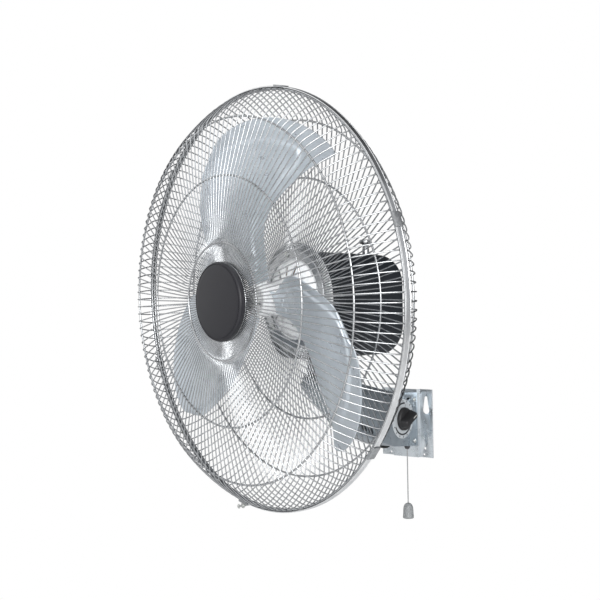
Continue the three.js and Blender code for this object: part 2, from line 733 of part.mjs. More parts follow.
function clutchKnob() {
  const stemFoot = 20 + 8 + 2 * gap;
  return post([[0, stemFoot], [knobStemR, stemFoot], [knobStemR, knobRise - 7], [knobCapR - 1, knobRise - 6.5],
    [knobCapR, knobRise - 5], [knobCapR, knobRise - 1.5], [knobCapR - 2, knobRise], [0, knobRise]], 24)
    .translate(gearX, gearY, 0);
}
node(fan, 'clutch_knob', clutchKnob(), chrome);

// ---------- rotor ----------
function motorShaft() {
  return turned([[0, hubFront - 11], [shaftR - 1, hubFront - 11], [shaftR, hubFront - 10], [shaftR, gearY - 11],
    [wormR, gearY - 10], [wormR, gearY + 9], [shaftR, gearY + 10], [shaftR, gearY + 12], [0, gearY + 12]], 20);
}
node(fan, 'motor_shaft', motorShaft(), steel);
node(fan, 'rotor_core', annulus(shaftR + gap, statorBore - rotorGap, statorFront + 1, statorEnd - 1), steel);

// One blade edge: radius, angle from the blade middle, distance back from the ring plane.
const edgeRadii = [42, 70, 120, 170, 215, 250];
const frontEdge = { angle: [34, 37, 36, 25.7, 16.4, 5.2], back: [-7, -18, -37, -43, -39, -34] };
const rearEdge = { angle: [-14, -10, -15, -26.9, -35.5, -43.3], back: [8, 7, 2, 10, 27, 39] };

function sample(values, r) {
  const last = edgeRadii.length - 1;
  const i = Math.min(last - 1, Math.max(0, edgeRadii.findIndex((e) => e > r) - 1));
  const k = r >= edgeRadii[last] ? last - 1 : i;
  const t = Math.min(1, Math.max(0, (r - edgeRadii[k]) / (edgeRadii[k + 1] - edgeRadii[k])));
  const before = values[Math.max(0, k - 1)];
  const after = values[Math.min(last, k + 2)];
  const m0 = (values[k + 1] - before) / 2;
  const m1 = (after - values[k]) / 2;
  return (2 * t ** 3 - 3 * t ** 2 + 1) * values[k] + (t ** 3 - 2 * t ** 2 + t) * m0
    + (-2 * t ** 3 + 3 * t ** 2) * values[k + 1] + (t ** 3 - t ** 2) * m1;
}

// A point of the blade face: s runs from root to tip, u from the rear edge to the front edge.
function bladePoint(s, u, offset) {
  const edge = bladeRootR + s * (bladeEdgeR - bladeRootR);
  const tip = bladeTipR - bladeEdgeR;
  const r = edge + s ** 4 * tip * Math.sin(Math.PI * u) ** 0.6;
  const angle = rad(THREE.MathUtils.lerp(sample(rearEdge.angle, edge), sample(frontEdge.angle, edge), u));
  const y = THREE.MathUtils.lerp(sample(rearEdge.back, edge), sample(frontEdge.back, edge), u)
    - 5 * Math.sin(Math.PI * u) * s + offset;
  return [r * Math.cos(angle), y, r * Math.sin(angle)];
}

function bladePatch(rows, columns, s0, s1, u0, u1, offset, thick) {
  const points = [];
  for (const layer of [0, thick]) {
    for (let i = 0; i <= rows; i++) {
      for (let j = 0; j <= columns; j++) {
        points.push(bladePoint(s0 + (s1 - s0) * i / rows, u0 + (u1 - u0) * j / columns, offset + layer));
      }
    }
  }
  const at = (layer, i, j) => layer * (rows + 1) * (columns + 1) + i * (columns + 1) + j;
  const quads = [];
  for (let i = 0; i < rows; i++) {
    for (let j = 0; j < columns; j++) {
      quads.push([at(0, i, j), at(0, i, j + 1), at(0, i + 1, j + 1), at(0, i + 1, j)]);
      quads.push([at(1, i, j), at(1, i + 1, j), at(1, i + 1, j + 1), at(1, i, j + 1)]);
    }
    quads.push([at(0, i, 0), at(0, i + 1, 0), at(1, i + 1, 0), at(1, i, 0)]);
    quads.push([at(0, i, columns), at(1, i, columns), at(1, i + 1, columns), at(0, i + 1, columns)]);
  }
  for (let j = 0; j < columns; j++) {
    quads.push([at(0, 0, j), at(1, 0, j), at(1, 0, j + 1), at(0, 0, j + 1)]);
    quads.push([at(0, rows, j), at(0, rows, j + 1), at(1, rows, j + 1), at(1, rows, j)]);
  }
  return outward(fromQuads(points, quads));
}

// Three rivets hold each blade to its hub arm.
const rivetPlaces = [[0.03, 0.5], [0.075, 0.35], [0.075, 0.65]];
const armThick = 3;
const bladeRows = 10;             // the hub arms share this grid, so they lie flat on the blades
const bladeColumns = 6;

function rivet(s, u, r, y0, y1) {
  const [x, y, z] = bladePoint(s, u, 0);
  return turned([[0, y + y0], [r, y + y0], [r, y + y1], [0, y + y1]], 8).translate(x, 0, z);
}

function blade() {
  const heads = rivetPlaces.map(([s, u]) => rivet(s, u, rivetR + 0.8, -2.6, 0.3));
  const shanks = rivetPlaces.map(([s, u]) => rivet(s, u, rivetR, 0, bladeSheet + gap + armThick + 1.5));
  return join(bladePatch(bladeRows, bladeColumns, 0, 1, 0, 1, 0, bladeSheet), ...heads, ...shanks);
}

function bladeHub() {
  const core = turned([[shaftR + gap, hubFront], [hubR - 2, hubFront], [hubR, hubFront + 2], [hubR, hubBack],
    [shaftR + gap, hubBack]], 30);
  const tools = [];
  const arms = [];
  for (let k = 0; k < bladeCount; k++) {
    const turn = -rad(bladePhase + k * 360 / bladeCount);
    const root = bladePatch(2, bladeColumns - 2, -1 / bladeRows, 1 / bladeRows, 1 / bladeColumns,
      1 - 1 / bladeColumns, bladeSheet + gap, armThick);
    arms.push(root.rotateY(turn));
    for (const [s, u] of rivetPlaces) tools.push(rivet(s, u, rivetR + gap, 0, 12).rotateY(turn));
  }
  for (let k = 0; k < 6; k++) {
    const a = rad(30 + 60 * k);
    tools.push(turned([[0, hubFront - 1], [2.8, hubFront - 1], [2.8, hubBack + 1], [0, hubBack + 1]], 8)
      .translate(16 * Math.cos(a), 0, 16 * Math.sin(a)));
  }
  return cut(join(core, ...arms), ...tools);
}
node(fan, 'blade_hub', bladeHub(), castAlu);
for (let k = 0; k < bladeCount; k++) {
  const turn = -rad(bladePhase + k * 360 / bladeCount);
  node(fan, `blade_${k + 1}`, blade().rotateY(turn), bladeAlu);
}
node(fan, 'hub_nut', cut(turned([[0, hubFront - 7], [10, hubFront - 7], [10, hubFront - gap], [0, hubFront - gap]], 6),
  turned([[0, hubFront - 8], [shaftR + gap, hubFront - 8], [shaftR + gap, hubFront + 1], [0, hubFront + 1]])), steel);

// ---------- wire guard ----------
// Each station is a place along one wire: radius, distance back, half thickness and, where a ring
// crosses, half the ring's width. Rings and wires share their crossing blocks.
function wireGuard(stations) {
  const path = stations.map(({ r, y }) => new THREE.Vector2(r, y));
  const points = [];
  const quads = [];
  const blocks = [];
  for (let k = 0; k < wireCount; k++) {
    const a = 2 * Math.PI * (k + 0.5) / wireCount;
    blocks.push(stations.map((station, j) => {
      const ahead = path[Math.min(j + 1, path.length - 1)].clone().sub(path[Math.max(j - 1, 0)]).normalize();
      const normal = new THREE.Vector2(ahead.y, -ahead.x);
      const along = station.ring ?? 0;
      const sides = along > 0 ? [-along, along] : [0];
      return sides.map((step) => [[1, 1], [-1, 1], [-1, -1], [1, -1]].map(([t, n]) => {
        const r = station.r + ahead.x * step + normal.x * n * station.half;
        const y = station.y + ahead.y * step + normal.y * n * station.half;
        const side = t * wireR;
        points.push([r * Math.cos(a) - side * Math.sin(a), y, r * Math.sin(a) + side * Math.cos(a)]);
        return points.length - 1;
      }));
    }));
  }
  for (let k = 0; k < wireCount; k++) {
    const next = blocks[(k + 1) % wireCount];
    blocks[k].forEach((sections, j) => {
      const entry = sections[0];
      const exit = sections[sections.length - 1];
      if (j === 0) quads.push([entry[0], entry[3], entry[2], entry[1]]);
      if (j === stations.length - 1) quads.push([exit[0], exit[1], exit[2], exit[3]]);
      if (sections.length > 1) {
        const e = next[j][0];
        const x = next[j][1];
        quads.push([entry[0], entry[1], exit[1], exit[0]], [entry[2], entry[3], exit[3], exit[2]]);
        quads.push([e[1], entry[0], exit[0], x[1]], [entry[3], e[2], x[2], exit[3]]);
        quads.push([entry[3], entry[0], e[1], e[2]], [exit[3], x[2], x[1], exit[0]]);
      }
      if (j + 1 < stations.length) {
        const far = blocks[k][j + 1][0];
        for (let i = 0; i < 4; i++) quads.push([exit[i], exit[(i + 1) % 4], far[(i + 1) % 4], far[i]]);
      }
    });
  }
  return outward(fromQuads(points, quads));
}

const rimR = guardRadius - bandSheet - gap - rimWireR;
const rimDepth = rimWireR + gap;

function guardShoulder(side) {
  return [
    { r: rimR, y: side * rimDepth, half: rimWireR, ring: rimWireR },
    { r: rimR, y: side * shoulderStart, half: wireR },
    { r: guardRadius - shoulderInset, y: side * shoulderDepth, half: wireR },
    { r: guardRadius - outerRingInset, y: side * outerRingDepth, half: wireR, ring: wireR },
    { r: guardRadius - midRingInset, y: side * midRingDepth, half: wireR, ring: wireR },
  ];
}

function frontGuard() {
  return wireGuard([...guardShoulder(-1),
    { r: stepR + 3, y: -stepDepth, half: wireR },
    { r: stepR - 4, y: -frontInnerDepth, half: wireR },
    { r: frontInnerR, y: -frontInnerDepth, half: wireR, ring: 3 }]);
}

function rearGuard() {
  const plateY = flangeFront - gap - wireR;
  const guard = wireGuard([...guardShoulder(1),
    { r: shieldFlangeR + 6, y: plateY, half: wireR },
    { r: rearPlateR, y: plateY, half: wireR, ring: rearPlateHalf }]);
  const holes = [0, 1, 2].map((k) => {
    const a = rad(guardScrewAngle + 120 * k);
    return turned([[0, plateY - 4], [screwR + gap, plateY - 4], [screwR + gap, plateY + 4], [0, plateY + 4]], 10)
      .translate(guardScrewR * Math.cos(a), 0, guardScrewR * Math.sin(a));
  });
  return cut(guard, ...holes);
}
node(fan, 'rear_guard', rearGuard(), chrome);
node(fan, 'front_guard', frontGuard(), chrome);

for (let k = 0; k < 3; k++) {
  const a = rad(guardScrewAngle + 120 * k);
  const seat = flangeFront - 2 * gap - 2 * wireR;
  node(fan, `guard_screw_${k + 1}`, turned([[0, seat - 3], [3.6, seat - 3], [5.2, seat - 1.5], [5.2, seat - 0.2],
    [screwR, seat - 0.2], [screwR, flangeFront + flangeThick - 1], [0, flangeFront + flangeThick - 1]], 8)
    .translate(guardScrewR * Math.cos(a), 0, guardScrewR * Math.sin(a)), steel);
}

// The band is a flat strip round both rims, with as many flats as the guard has wires.
function clampBand() {
  const half = bandWidth / 2;
  const inner = guardRadius - bandSheet;
  const strip = turned([[inner, -half], [guardRadius - 0.5, -half], [guardRadius, -half + 0.8],
    [guardRadius, half - 0.8], [guardRadius - 0.5, half], [inner, half]], wireCount);
  return strip.rotateY(Math.PI / wireCount);
}
node(fan, 'clamp_band', clampBand(), chrome);

function badge() {
  const back = -frontInnerDepth - wireR - gap;
  const front = back - badgeThick;
  return turned([[0, front - badgeCrown], [badgeR * 0.45, front - badgeCrown * 0.8],
    [badgeR * 0.8, front - badgeCrown * 0.25], [badgeR - 2.5, front + 1], [badgeR, front + 3.5], [badgeR, back],
    [0, back]], 40);
}
node(fan, 'badge', badge(), blackPlastic);

// A strip folded over both edges of the band.
function guardClip(angle) {
  const seat = guardRadius + gap;
  const inner = bandWidth / 2 + gap;
  const outer = inner + clipSheet;
  const outline = [[seat - clipLip, -inner], [seat - clipLip, -outer], [seat + clipSheet, -outer],
    [seat + clipSheet, outer], [seat - clipLip, outer], [seat - clipLip, inner], [seat, inner], [seat, -inner]];
  const clip = loft([-clipHalf, clipHalf].map((z) => outline.map(([x, y]) => [x, y, z])));
  return clip.rotateY(-rad(angle));
}
for (let i = 0; i < clipCount; i++) {
  node(fan, `guard_clip_${i + 1}`, guardClip(clipFirst - i * 360 / clipCount), chrome);
}

export default group;
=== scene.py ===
# Wall fan with a wire guard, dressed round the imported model. Sizes in millimetres unless noted.
import math

import bpy
from mathutils import Matrix, Vector
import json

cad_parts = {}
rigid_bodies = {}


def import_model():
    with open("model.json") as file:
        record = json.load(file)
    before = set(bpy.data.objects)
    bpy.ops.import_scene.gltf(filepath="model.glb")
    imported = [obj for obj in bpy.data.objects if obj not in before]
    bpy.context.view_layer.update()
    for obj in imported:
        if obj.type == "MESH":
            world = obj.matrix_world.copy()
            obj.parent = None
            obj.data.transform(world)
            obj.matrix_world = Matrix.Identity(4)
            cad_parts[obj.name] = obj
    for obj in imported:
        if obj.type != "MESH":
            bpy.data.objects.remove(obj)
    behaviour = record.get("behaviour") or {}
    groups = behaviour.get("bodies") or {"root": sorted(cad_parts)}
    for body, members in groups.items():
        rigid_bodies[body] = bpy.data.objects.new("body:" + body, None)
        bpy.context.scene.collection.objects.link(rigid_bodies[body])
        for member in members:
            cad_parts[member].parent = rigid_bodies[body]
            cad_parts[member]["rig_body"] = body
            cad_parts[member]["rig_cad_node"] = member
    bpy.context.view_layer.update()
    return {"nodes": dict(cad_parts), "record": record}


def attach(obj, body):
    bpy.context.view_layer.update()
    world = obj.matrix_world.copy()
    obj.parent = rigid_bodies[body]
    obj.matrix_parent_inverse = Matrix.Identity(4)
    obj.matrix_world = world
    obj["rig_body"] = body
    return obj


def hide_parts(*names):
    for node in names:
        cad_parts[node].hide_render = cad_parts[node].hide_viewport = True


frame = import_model()
nodes = frame["nodes"]
print("frame loaded:", len(nodes), "nodes")

# where the fan head stands on its bracket, as built
headPlace = {"panAxis": (0, -250, 229), "panRest": -15, "ringAhead": 120}
toMetres = Matrix.Scale(0.001, 4)
onBracket = toMetres.copy()
onHead = (
    toMetres
    @ Matrix.Translation(headPlace["panAxis"])
    @ Matrix.Rotation(math.radians(headPlace["panRest"]), 4, "Z")
    @ Matrix.Translation((0, -headPlace["ringAhead"], 0))
)

# camera, at the place the photograph was taken from
cameraPlace = {
    "azimuth": 36.754, "elevation": 1.577, "roll": -1.152,   # degrees
    "spot": (1.1054, -1.7921, 0.2781),                       # metres
    "lens": 71.15, "sensor": 36.0, "nearest": 0.05,
}


def makeCamera(settings):
    azimuth = math.radians(settings["azimuth"])
    elevation = math.radians(settings["elevation"])
    roll = math.radians(settings["roll"])
    back = Vector((math.sin(azimuth) * math.cos(elevation),
                   -math.cos(azimuth) * math.cos(elevation), math.sin(elevation)))
    level = Vector((math.cos(azimuth), math.sin(azimuth), 0))
    upright = back.cross(level)
    right = math.cos(roll) * level + math.sin(roll) * upright
    up = back.cross(right)
    data = bpy.data.cameras.new("photoCamera")
    data.lens = settings["lens"]
    data.sensor_width = settings["sensor"]
    data.clip_start = settings["nearest"]
    camera = bpy.data.objects.new("photoCamera", data)
    camera.matrix_world = Matrix((right, up, back)).transposed().to_4x4()
    camera.location = settings["spot"]
    bpy.context.scene.collection.objects.link(camera)
    bpy.context.scene.camera = camera


makeCamera(cameraPlace)
print("camera placed")


# modelling helpers
def nothingPicked():
    if bpy.context.object and bpy.context.object.mode != "OBJECT":
        bpy.ops.object.mode_set(mode="OBJECT")
    bpy.ops.object.select_all(action="DESELECT")


def editAll():
    bpy.ops.object.mode_set(mode="EDIT")
    bpy.ops.mesh.select_all(action="SELECT")


def endEdit():
    bpy.ops.object.mode_set(mode="OBJECT")


def pick(*pieces):
    nothingPicked()
    for piece in pieces:
        piece.select_set(True)
    bpy.context.view_layer.objects.active = pieces[0]
    return pieces[0]


def named(name):
    piece = bpy.context.object
    piece.name = name
    piece.data.name = name
    return piece


def applied(piece, kind, **settings):
    modifier = piece.modifiers.new(kind.lower(), kind)
    for key, value in settings.items():
        setattr(modifier, key, value)
    pick(piece)
    bpy.ops.object.modifier_apply(modifier=modifier.name)
    return piece


def joined(name, pieces):
    pick(*pieces)
    if len(pieces) > 1:
        bpy.ops.object.join()
    return named(name)


def copied(piece, name, matrix):
    again = bpy.data.objects.new(name, piece.data.copy())
    bpy.context.scene.collection.objects.link(again)
    again.data.transform(matrix)
    return again


def cutWith(piece, *cutters):
    for cutter in cutters:
        applied(piece, "BOOLEAN", operation="DIFFERENCE", object=cutter, solver="EXACT")
        bpy.data.objects.remove(cutter)
    return piece


def smoothed(piece, angle=35):
    pick(piece)
    bpy.ops.object.shade_smooth_by_angle(angle=math.radians(angle))
    return piece


def rounded(piece, width, segments=2, angle=30):
    return applied(piece, "BEVEL", width=width, segments=segments, limit_method="ANGLE",
                   angle_limit=math.radians(angle), harden_normals=False)


def settled(piece, place):
    piece.data.transform(piece.matrix_world)
    piece.matrix_world = Matrix.Identity(4)
    piece.data.transform(place)
    return piece


def edgeChain(name, points):
    # one vertex, pushed out again and again along the outline
    nothingPicked()
    bpy.ops.mesh.primitive_plane_add(size=1)
    chain = named(name)
    bpy.ops.object.mode_set(mode="EDIT")
    bpy.ops.mesh.select_mode(type="VERT")
    bpy.ops.mesh.select_all(action="SELECT")
    bpy.ops.mesh.merge(type="CENTER")
    bpy.ops.transform.translate(value=Vector(points[0]))
    for near, far in zip(points, points[1:]):
        bpy.ops.mesh.extrude_region_move(TRANSFORM_OT_translate={"value": Vector(far) - Vector(near)})
    endEdit()
    return chain


lathePoint = {
    "X": lambda radius, along: (along, 0, radius),
    "Y": lambda radius, along: (radius, along, 0),
    "Z": lambda radius, along: (radius, 0, along),
}


turning = {"profileMerge": 0.0001, "seamMerge": 0.0005}


def turnedPiece(name, profile, steps=96, axis="Y", closed=False):
    outline = list(profile) + ([profile[0]] if closed else [])
    piece = edgeChain(name, [lathePoint[axis](*point) for point in outline])
    editAll()
    bpy.ops.mesh.remove_doubles(threshold=turning["profileMerge"])
    bpy.ops.mesh.spin(steps=steps, angle=2 * math.pi, center=(0, 0, 0),
                      axis=[float(axis == each) for each in "XYZ"])
    bpy.ops.mesh.select_all(action="SELECT")
    bpy.ops.mesh.remove_doubles(threshold=turning["seamMerge"])
    bpy.ops.mesh.normals_make_consistent(inside=False)
    endEdit()
    return smoothed(piece)


def rodPiece(name, points, radius):
    # a chain of edges given a round section, as bent wire
    wire = edgeChain(name, points)
    pick(wire)
    bpy.ops.object.convert(target="CURVE")
    wire.data.bevel_depth = radius
    wire.data.bevel_resolution = 1      # eight sides
    wire.data.use_fill_caps = True
    bpy.ops.object.convert(target="MESH")
    bpy.ops.object.shade_smooth()
    return bpy.context.object


def boxPiece(name, low, high):
    nothingPicked()
    middle = [(a + b) / 2 for a, b in zip(low, high)]
    bpy.ops.mesh.primitive_cube_add(size=1, location=middle)
    piece = named(name)
    piece.scale = [b - a for a, b in zip(low, high)]
    bpy.ops.object.transform_apply(location=True, rotation=True, scale=True)
    return piece


def rodAt(name, radius, start, end, sides=24):
    nothingPicked()
    start, end = Vector(start), Vector(end)
    line = end - start
    bpy.ops.mesh.primitive_cylinder_add(vertices=sides, radius=radius, depth=line.length,
                                        location=(start + end) / 2)
    piece = named(name)
    piece.rotation_mode = "QUATERNION"
    piece.rotation_quaternion = line.to_track_quat("Z", "Y")
    bpy.ops.object.transform_apply(location=True, rotation=True, scale=True)
    return piece


def aroundY(degrees):
    # the way angles are counted on the fan: from +X towards +Z, seen from the front
    return Matrix.Rotation(-math.radians(degrees), 4, "Y")


def finished(piece, body, slot, material, *replaced):
    piece.data.materials.clear()
    piece.data.materials.append(material)
    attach(piece, body)
    if replaced:
        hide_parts(*replaced)


# finishes
def addNode(tree, kind, inputs=None, **values):
    node = tree.nodes.new(kind)
    for key, value in values.items():
        setattr(node, key, value)
    for key, value in (inputs or {}).items():
        node.inputs[key].default_value = value
    return node


grainRule = {"detail": 5, "fineness": 0.6, "flowerShare": 0.45, "low": 0.35, "high": 0.65,
             "roughFrom": 0.3, "roughTo": 0.7, "bumpHeight": 0.0004}


def makeFinish(name, look):
    # two colours mixed by a grain, a roughness that follows it, and a bump where the look has one
    material = bpy.data.materials.new(name)
    material.use_nodes = True
    tree = material.node_tree
    shader = tree.nodes["Principled BSDF"]
    shader.inputs["Metallic"].default_value = look.get("metal", 0)
    shader.inputs["Specular IOR Level"].default_value = look.get("specular", 0.5)
    coords = addNode(tree, "ShaderNodeTexCoord")
    mapping = addNode(tree, "ShaderNodeMapping", {"Scale": look.get("stretch", (1, 1, 1))})
    tree.links.new(coords.outputs["Object"], mapping.inputs["Vector"])
    grain = addNode(tree, "ShaderNodeTexNoise", {"Scale": look["grain"], "Detail": grainRule["detail"],
                                                 "Roughness": grainRule["fineness"]})
    tree.links.new(mapping.outputs["Vector"], grain.inputs["Vector"])
    pattern = grain.outputs["Fac"]
    if "cells" in look:      # zinc flowers
        flowers = addNode(tree, "ShaderNodeTexVoronoi", {"Scale": look["cells"], "Randomness": 1})
        tree.links.new(mapping.outputs["Vector"], flowers.inputs["Vector"])
        mixed = addNode(tree, "ShaderNodeMix", {"Factor": grainRule["flowerShare"]}, data_type="FLOAT")
        tree.links.new(grain.outputs["Fac"], mixed.inputs[2])
        tree.links.new(flowers.outputs["Color"], mixed.inputs[3])
        pattern = mixed.outputs[0]
    ramp = addNode(tree, "ShaderNodeValToRGB")
    ramp.color_ramp.elements[0].position = look.get("low", grainRule["low"])
    ramp.color_ramp.elements[1].position = look.get("high", grainRule["high"])
    ramp.color_ramp.elements[0].color = (*look["dark"], 1)
    ramp.color_ramp.elements[1].color = (*look["light"], 1)
    tree.links.new(pattern, ramp.inputs["Fac"])
    tree.links.new(ramp.outputs["Color"], shader.inputs["Base Color"])
    spread = addNode(tree, "ShaderNodeMapRange", {
        "From Min": grainRule["roughFrom"], "From Max": grainRule["roughTo"],
        "To Min": look["rough"][0], "To Max": look["rough"][1]})
    tree.links.new(pattern, spread.inputs["Value"])
    tree.links.new(spread.outputs["Result"], shader.inputs["Roughness"])
    if look["bump"]:
        bump = addNode(tree, "ShaderNodeBump", {"Strength": look["bump"],
                                                "Distance": grainRule["bumpHeight"]})
        tree.links.new(grain.outputs["Fac"], bump.inputs["Height"])
        tree.links.new(bump.outputs["Normal"], shader.inputs["Normal"])
    return material


looks = {
    "zincSheet": {"dark": (0.50, 0.54, 0.57), "light": (0.64, 0.68, 0.71), "metal": 0.9,
        "rough": (0.24, 0.36), "grain": 120, "cells": 90, "bump": 0, "low": 0.15, "high": 0.85},
    # a darker copy of zincSheet for the arm channel: painted shade for the arm's side, which mirrors the
    # dark surroundings
    "armZincPaintedShade": {"dark": (0.25, 0.29, 0.32), "light": (0.36, 0.40, 0.44), "metal": 0.85,
        "rough": (0.26, 0.38), "grain": 120, "cells": 90, "bump": 0, "low": 0.15, "high": 0.85},
    "guardWire": {"dark": (0.38, 0.39, 0.40), "light": (0.52, 0.53, 0.54), "metal": 1,
        "rough": (0.16, 0.28), "grain": 40, "bump": 0.03},
    "brightStrip": {"dark": (0.72, 0.73, 0.74), "light": (0.86, 0.87, 0.88), "metal": 1,
        "rough": (0.18, 0.3), "grain": 60, "bump": 0.03},
    "bladeSheet": {"dark": (0.57, 0.62, 0.67), "light": (0.65, 0.70, 0.75), "metal": 0.6,
        "rough": (0.26, 0.36), "grain": 30, "bump": 0},
    "castMetal": {"dark": (0.82, 0.83, 0.84), "light": (0.93, 0.94, 0.95), "metal": 0.05,
        "rough": (0.26, 0.4), "grain": 260, "bump": 0},
    "greyCasting": {"dark": (0.16, 0.165, 0.17), "light": (0.26, 0.265, 0.27), "metal": 0.7,
        "rough": (0.42, 0.62), "grain": 320, "bump": 0.3},
    "coverPaint": {"dark": (0.009, 0.011, 0.014), "light": (0.015, 0.018, 0.022),
        "rough": (0.36, 0.5), "grain": 700, "bump": 0.12, "specular": 0.2},
    "badgePlastic": {"dark": (0.012, 0.012, 0.015), "light": (0.020, 0.020, 0.024),
        "rough": (0.34, 0.46), "grain": 900, "bump": 0.12, "specular": 0.3},
    "knobPlastic": {"dark": (0.006, 0.006, 0.007), "light": (0.014, 0.014, 0.015),
        "rough": (0.38, 0.55), "grain": 1400, "bump": 0.2},
    "dialSheet": {"dark": (0.46, 0.49, 0.51), "light": (0.58, 0.61, 0.63), "metal": 0.3,
        "rough": (0.34, 0.44), "grain": 90, "stretch": (1, 8, 1), "bump": 0.04},
    "dialInk": {"dark": (0.010, 0.011, 0.013), "light": (0.022, 0.023, 0.026), "rough": (0.5, 0.6),
        "grain": 800, "bump": 0.02},
    "knobInk": {"dark": (0.55, 0.55, 0.53), "light": (0.72, 0.72, 0.70), "rough": (0.5, 0.6),
        "grain": 800, "bump": 0.02},
    "screwZinc": {"dark": (0.50, 0.51, 0.50), "light": (0.70, 0.71, 0.69), "metal": 0.95,
        "rough": (0.22, 0.4), "grain": 500, "bump": 0.06},
    "clipMetal": {"dark": (0.30, 0.31, 0.32), "light": (0.48, 0.49, 0.50), "metal": 0.9,
        "rough": (0.3, 0.45), "grain": 260, "bump": 0.08},
    "clutchChrome": {"dark": (0.34, 0.35, 0.36), "light": (0.50, 0.51, 0.52), "metal": 1,
        "rough": (0.12, 0.22), "grain": 300, "bump": 0.03},
    "groundSteel": {"dark": (0.38, 0.39, 0.40), "light": (0.55, 0.56, 0.57), "metal": 1,
        "rough": (0.22, 0.36), "grain": 60, "stretch": (1, 1, 12), "bump": 0.05},
    "laminations": {"dark": (0.12, 0.125, 0.13), "light": (0.24, 0.245, 0.25), "metal": 0.9,
        "rough": (0.4, 0.6), "grain": 30, "stretch": (1, 40, 1), "bump": 0.3},
    "copperWinding": {"dark": (0.30, 0.09, 0.03), "light": (0.55, 0.20, 0.07), "metal": 0.9,
        "rough": (0.3, 0.45), "grain": 60, "stretch": (1, 14, 1), "bump": 0.4},
    "bronzeBush": {"dark": (0.38, 0.24, 0.09), "light": (0.56, 0.38, 0.16), "metal": 1,
        "rough": (0.3, 0.46), "grain": 200, "bump": 0.1},
    "palePlastic": {"dark": (0.62, 0.62, 0.58), "light": (0.74, 0.74, 0.70), "rough": (0.4, 0.55),
        "grain": 200, "bump": 0.05},
    "switchPlastic": {"dark": (0.03, 0.03, 0.034), "light": (0.055, 0.055, 0.06),
        "rough": (0.45, 0.6), "grain": 900, "bump": 0.15},
    "pullPlastic": {"dark": (0.19, 0.20, 0.205), "light": (0.27, 0.28, 0.285),
        "rough": (0.42, 0.56), "grain": 500, "bump": 0.1},
    "pullSheath": {"dark": (0.20, 0.205, 0.21), "light": (0.36, 0.365, 0.37), "rough": (0.6, 0.75),
        "grain": 900, "stretch": (1, 1, 0.4), "bump": 0.4},
    "rubber": {"dark": (0.010, 0.010, 0.010), "light": (0.022, 0.022, 0.022), "rough": (0.65, 0.8),
        "grain": 700, "bump": 0.2},
}
finish = {name: makeFinish(name, look) for name, look in looks.items()}
print("finishes made:", len(finish))

# pull cord and its bell
cordRoute = {"x": 16, "y": -29, "top": -20, "foot": -137, "points": 16, "radius": 1.0}
bell = {
    "radius": 9.5, "height": 27, "gap": 0.3,
    "crown": [(0, 0), (1.6, 0), (2.4, -0.4), (4.4, -1.2), (6.4, -3.0), (7.7, -5.6), (8.5, -9.0),
              (8.9, -13.0)],
    "foot": [(-0.3, 5), (0, 4), (0, 1.2), (-0.5, 0.4), (-1.3, 0), (-2.6, 0), (-3.0, 0.6), (-3.4, 9)],
    "hollow": 10,
}


def makePullCord(route):
    step = (route["foot"] - route["top"]) / (route["points"] - 1)
    data = bpy.data.curves.new("pullCord", "CURVE")
    data.dimensions = "3D"
    spline = data.splines.new("POLY")
    spline.points.add(route["points"] - 1)
    for number, point in enumerate(spline.points):
        height = route["top"] + number * step
        point.co = (route["x"] / 1000, route["y"] / 1000, height / 1000, 1)
    data.bevel_depth = route["radius"] / 1000
    data.bevel_resolution = 4
    data.use_fill_caps = True
    cord = bpy.data.objects.new("pullCord", data)
    bpy.context.scene.collection.objects.link(cord)
    return cord


def makeBell(settings, route):
    top = route["foot"] - settings["gap"]
    foot = top - settings["height"]
    r = settings["radius"]
    outline = [(radius, top + down) for radius, down in settings["crown"]]
    outline += [(r + inward, foot + up) for inward, up in settings["foot"]]
    outline.append((0, foot + settings["hollow"]))
    body = turnedPiece("pullBell", outline, steps=48, axis="Z")
    body.data.transform(Matrix.Translation((route["x"], route["y"], 0)))
    return settled(body, onBracket)


pullCord = makePullCord(cordRoute)
pullBell = makeBell(bell, cordRoute)
finished(pullCord, "pull", "pull_grey", finish["pullSheath"], "pull_cord")
finished(pullBell, "pull", "pull_grey", finish["pullPlastic"], "pull_bell")
print("pull cord and bell made")

# wire guards
guard = {
    "wires": 144, "wire": 1.0, "ringWire": 1.5, "rimWire": 2.0,
    "rim": 321, "rimDepth": 2.5,
    "shoulder": [(320.8, 6), (319, 11), (315, 18), (309, 26), (302, 34.5), (294.5, 43), (287.5, 50),
                 (282.5, 54.3)],
    "outerRing": (277.5, 56.5), "flank": (235, 65.6), "middleRing": (189.5, 75), "stepRing": (89, 79.5),
    "ringLean": 0.2, "ringBite": 0.5,      # rings lie on the inner side of the wires and sink into them
    "frontStep": [(150, 78.2), (115, 80.3), (97, 81), (92.5, 80.3), (89.5, 78), (86.5, 75.4), (82, 74.5)],
    "frontEnd": (58, 74.5), "frontEndRing": 1.9, "frontEndBite": 0.6,
    "rearRun": [(150, 68.6), (98, 60.9)], "rearEnd": (74, 60.2),
    "plate": {"inner": 64, "outer": 77, "half": 1.5, "ease": 0.5},
}


def guardPath(settings, front):
    points = [(settings["rim"], settings["rimDepth"])] + settings["shoulder"]
    points += [settings["outerRing"], settings["flank"], settings["middleRing"]]
    if front:
        return points + settings["frontStep"] + [settings["frontEnd"]]
    return points + settings["rearRun"] + [settings["rearEnd"]]


def ringPiece(radius, depth, thickness):
    nothingPicked()
    bpy.ops.mesh.primitive_torus_add(major_radius=radius, minor_radius=thickness, major_segments=180,
                                     minor_segments=8, location=(0, depth, 0), rotation=(math.pi / 2, 0, 0))
    ring = named("ring")
    bpy.ops.object.transform_apply(location=True, rotation=True, scale=True)
    bpy.ops.object.shade_smooth()
    return ring


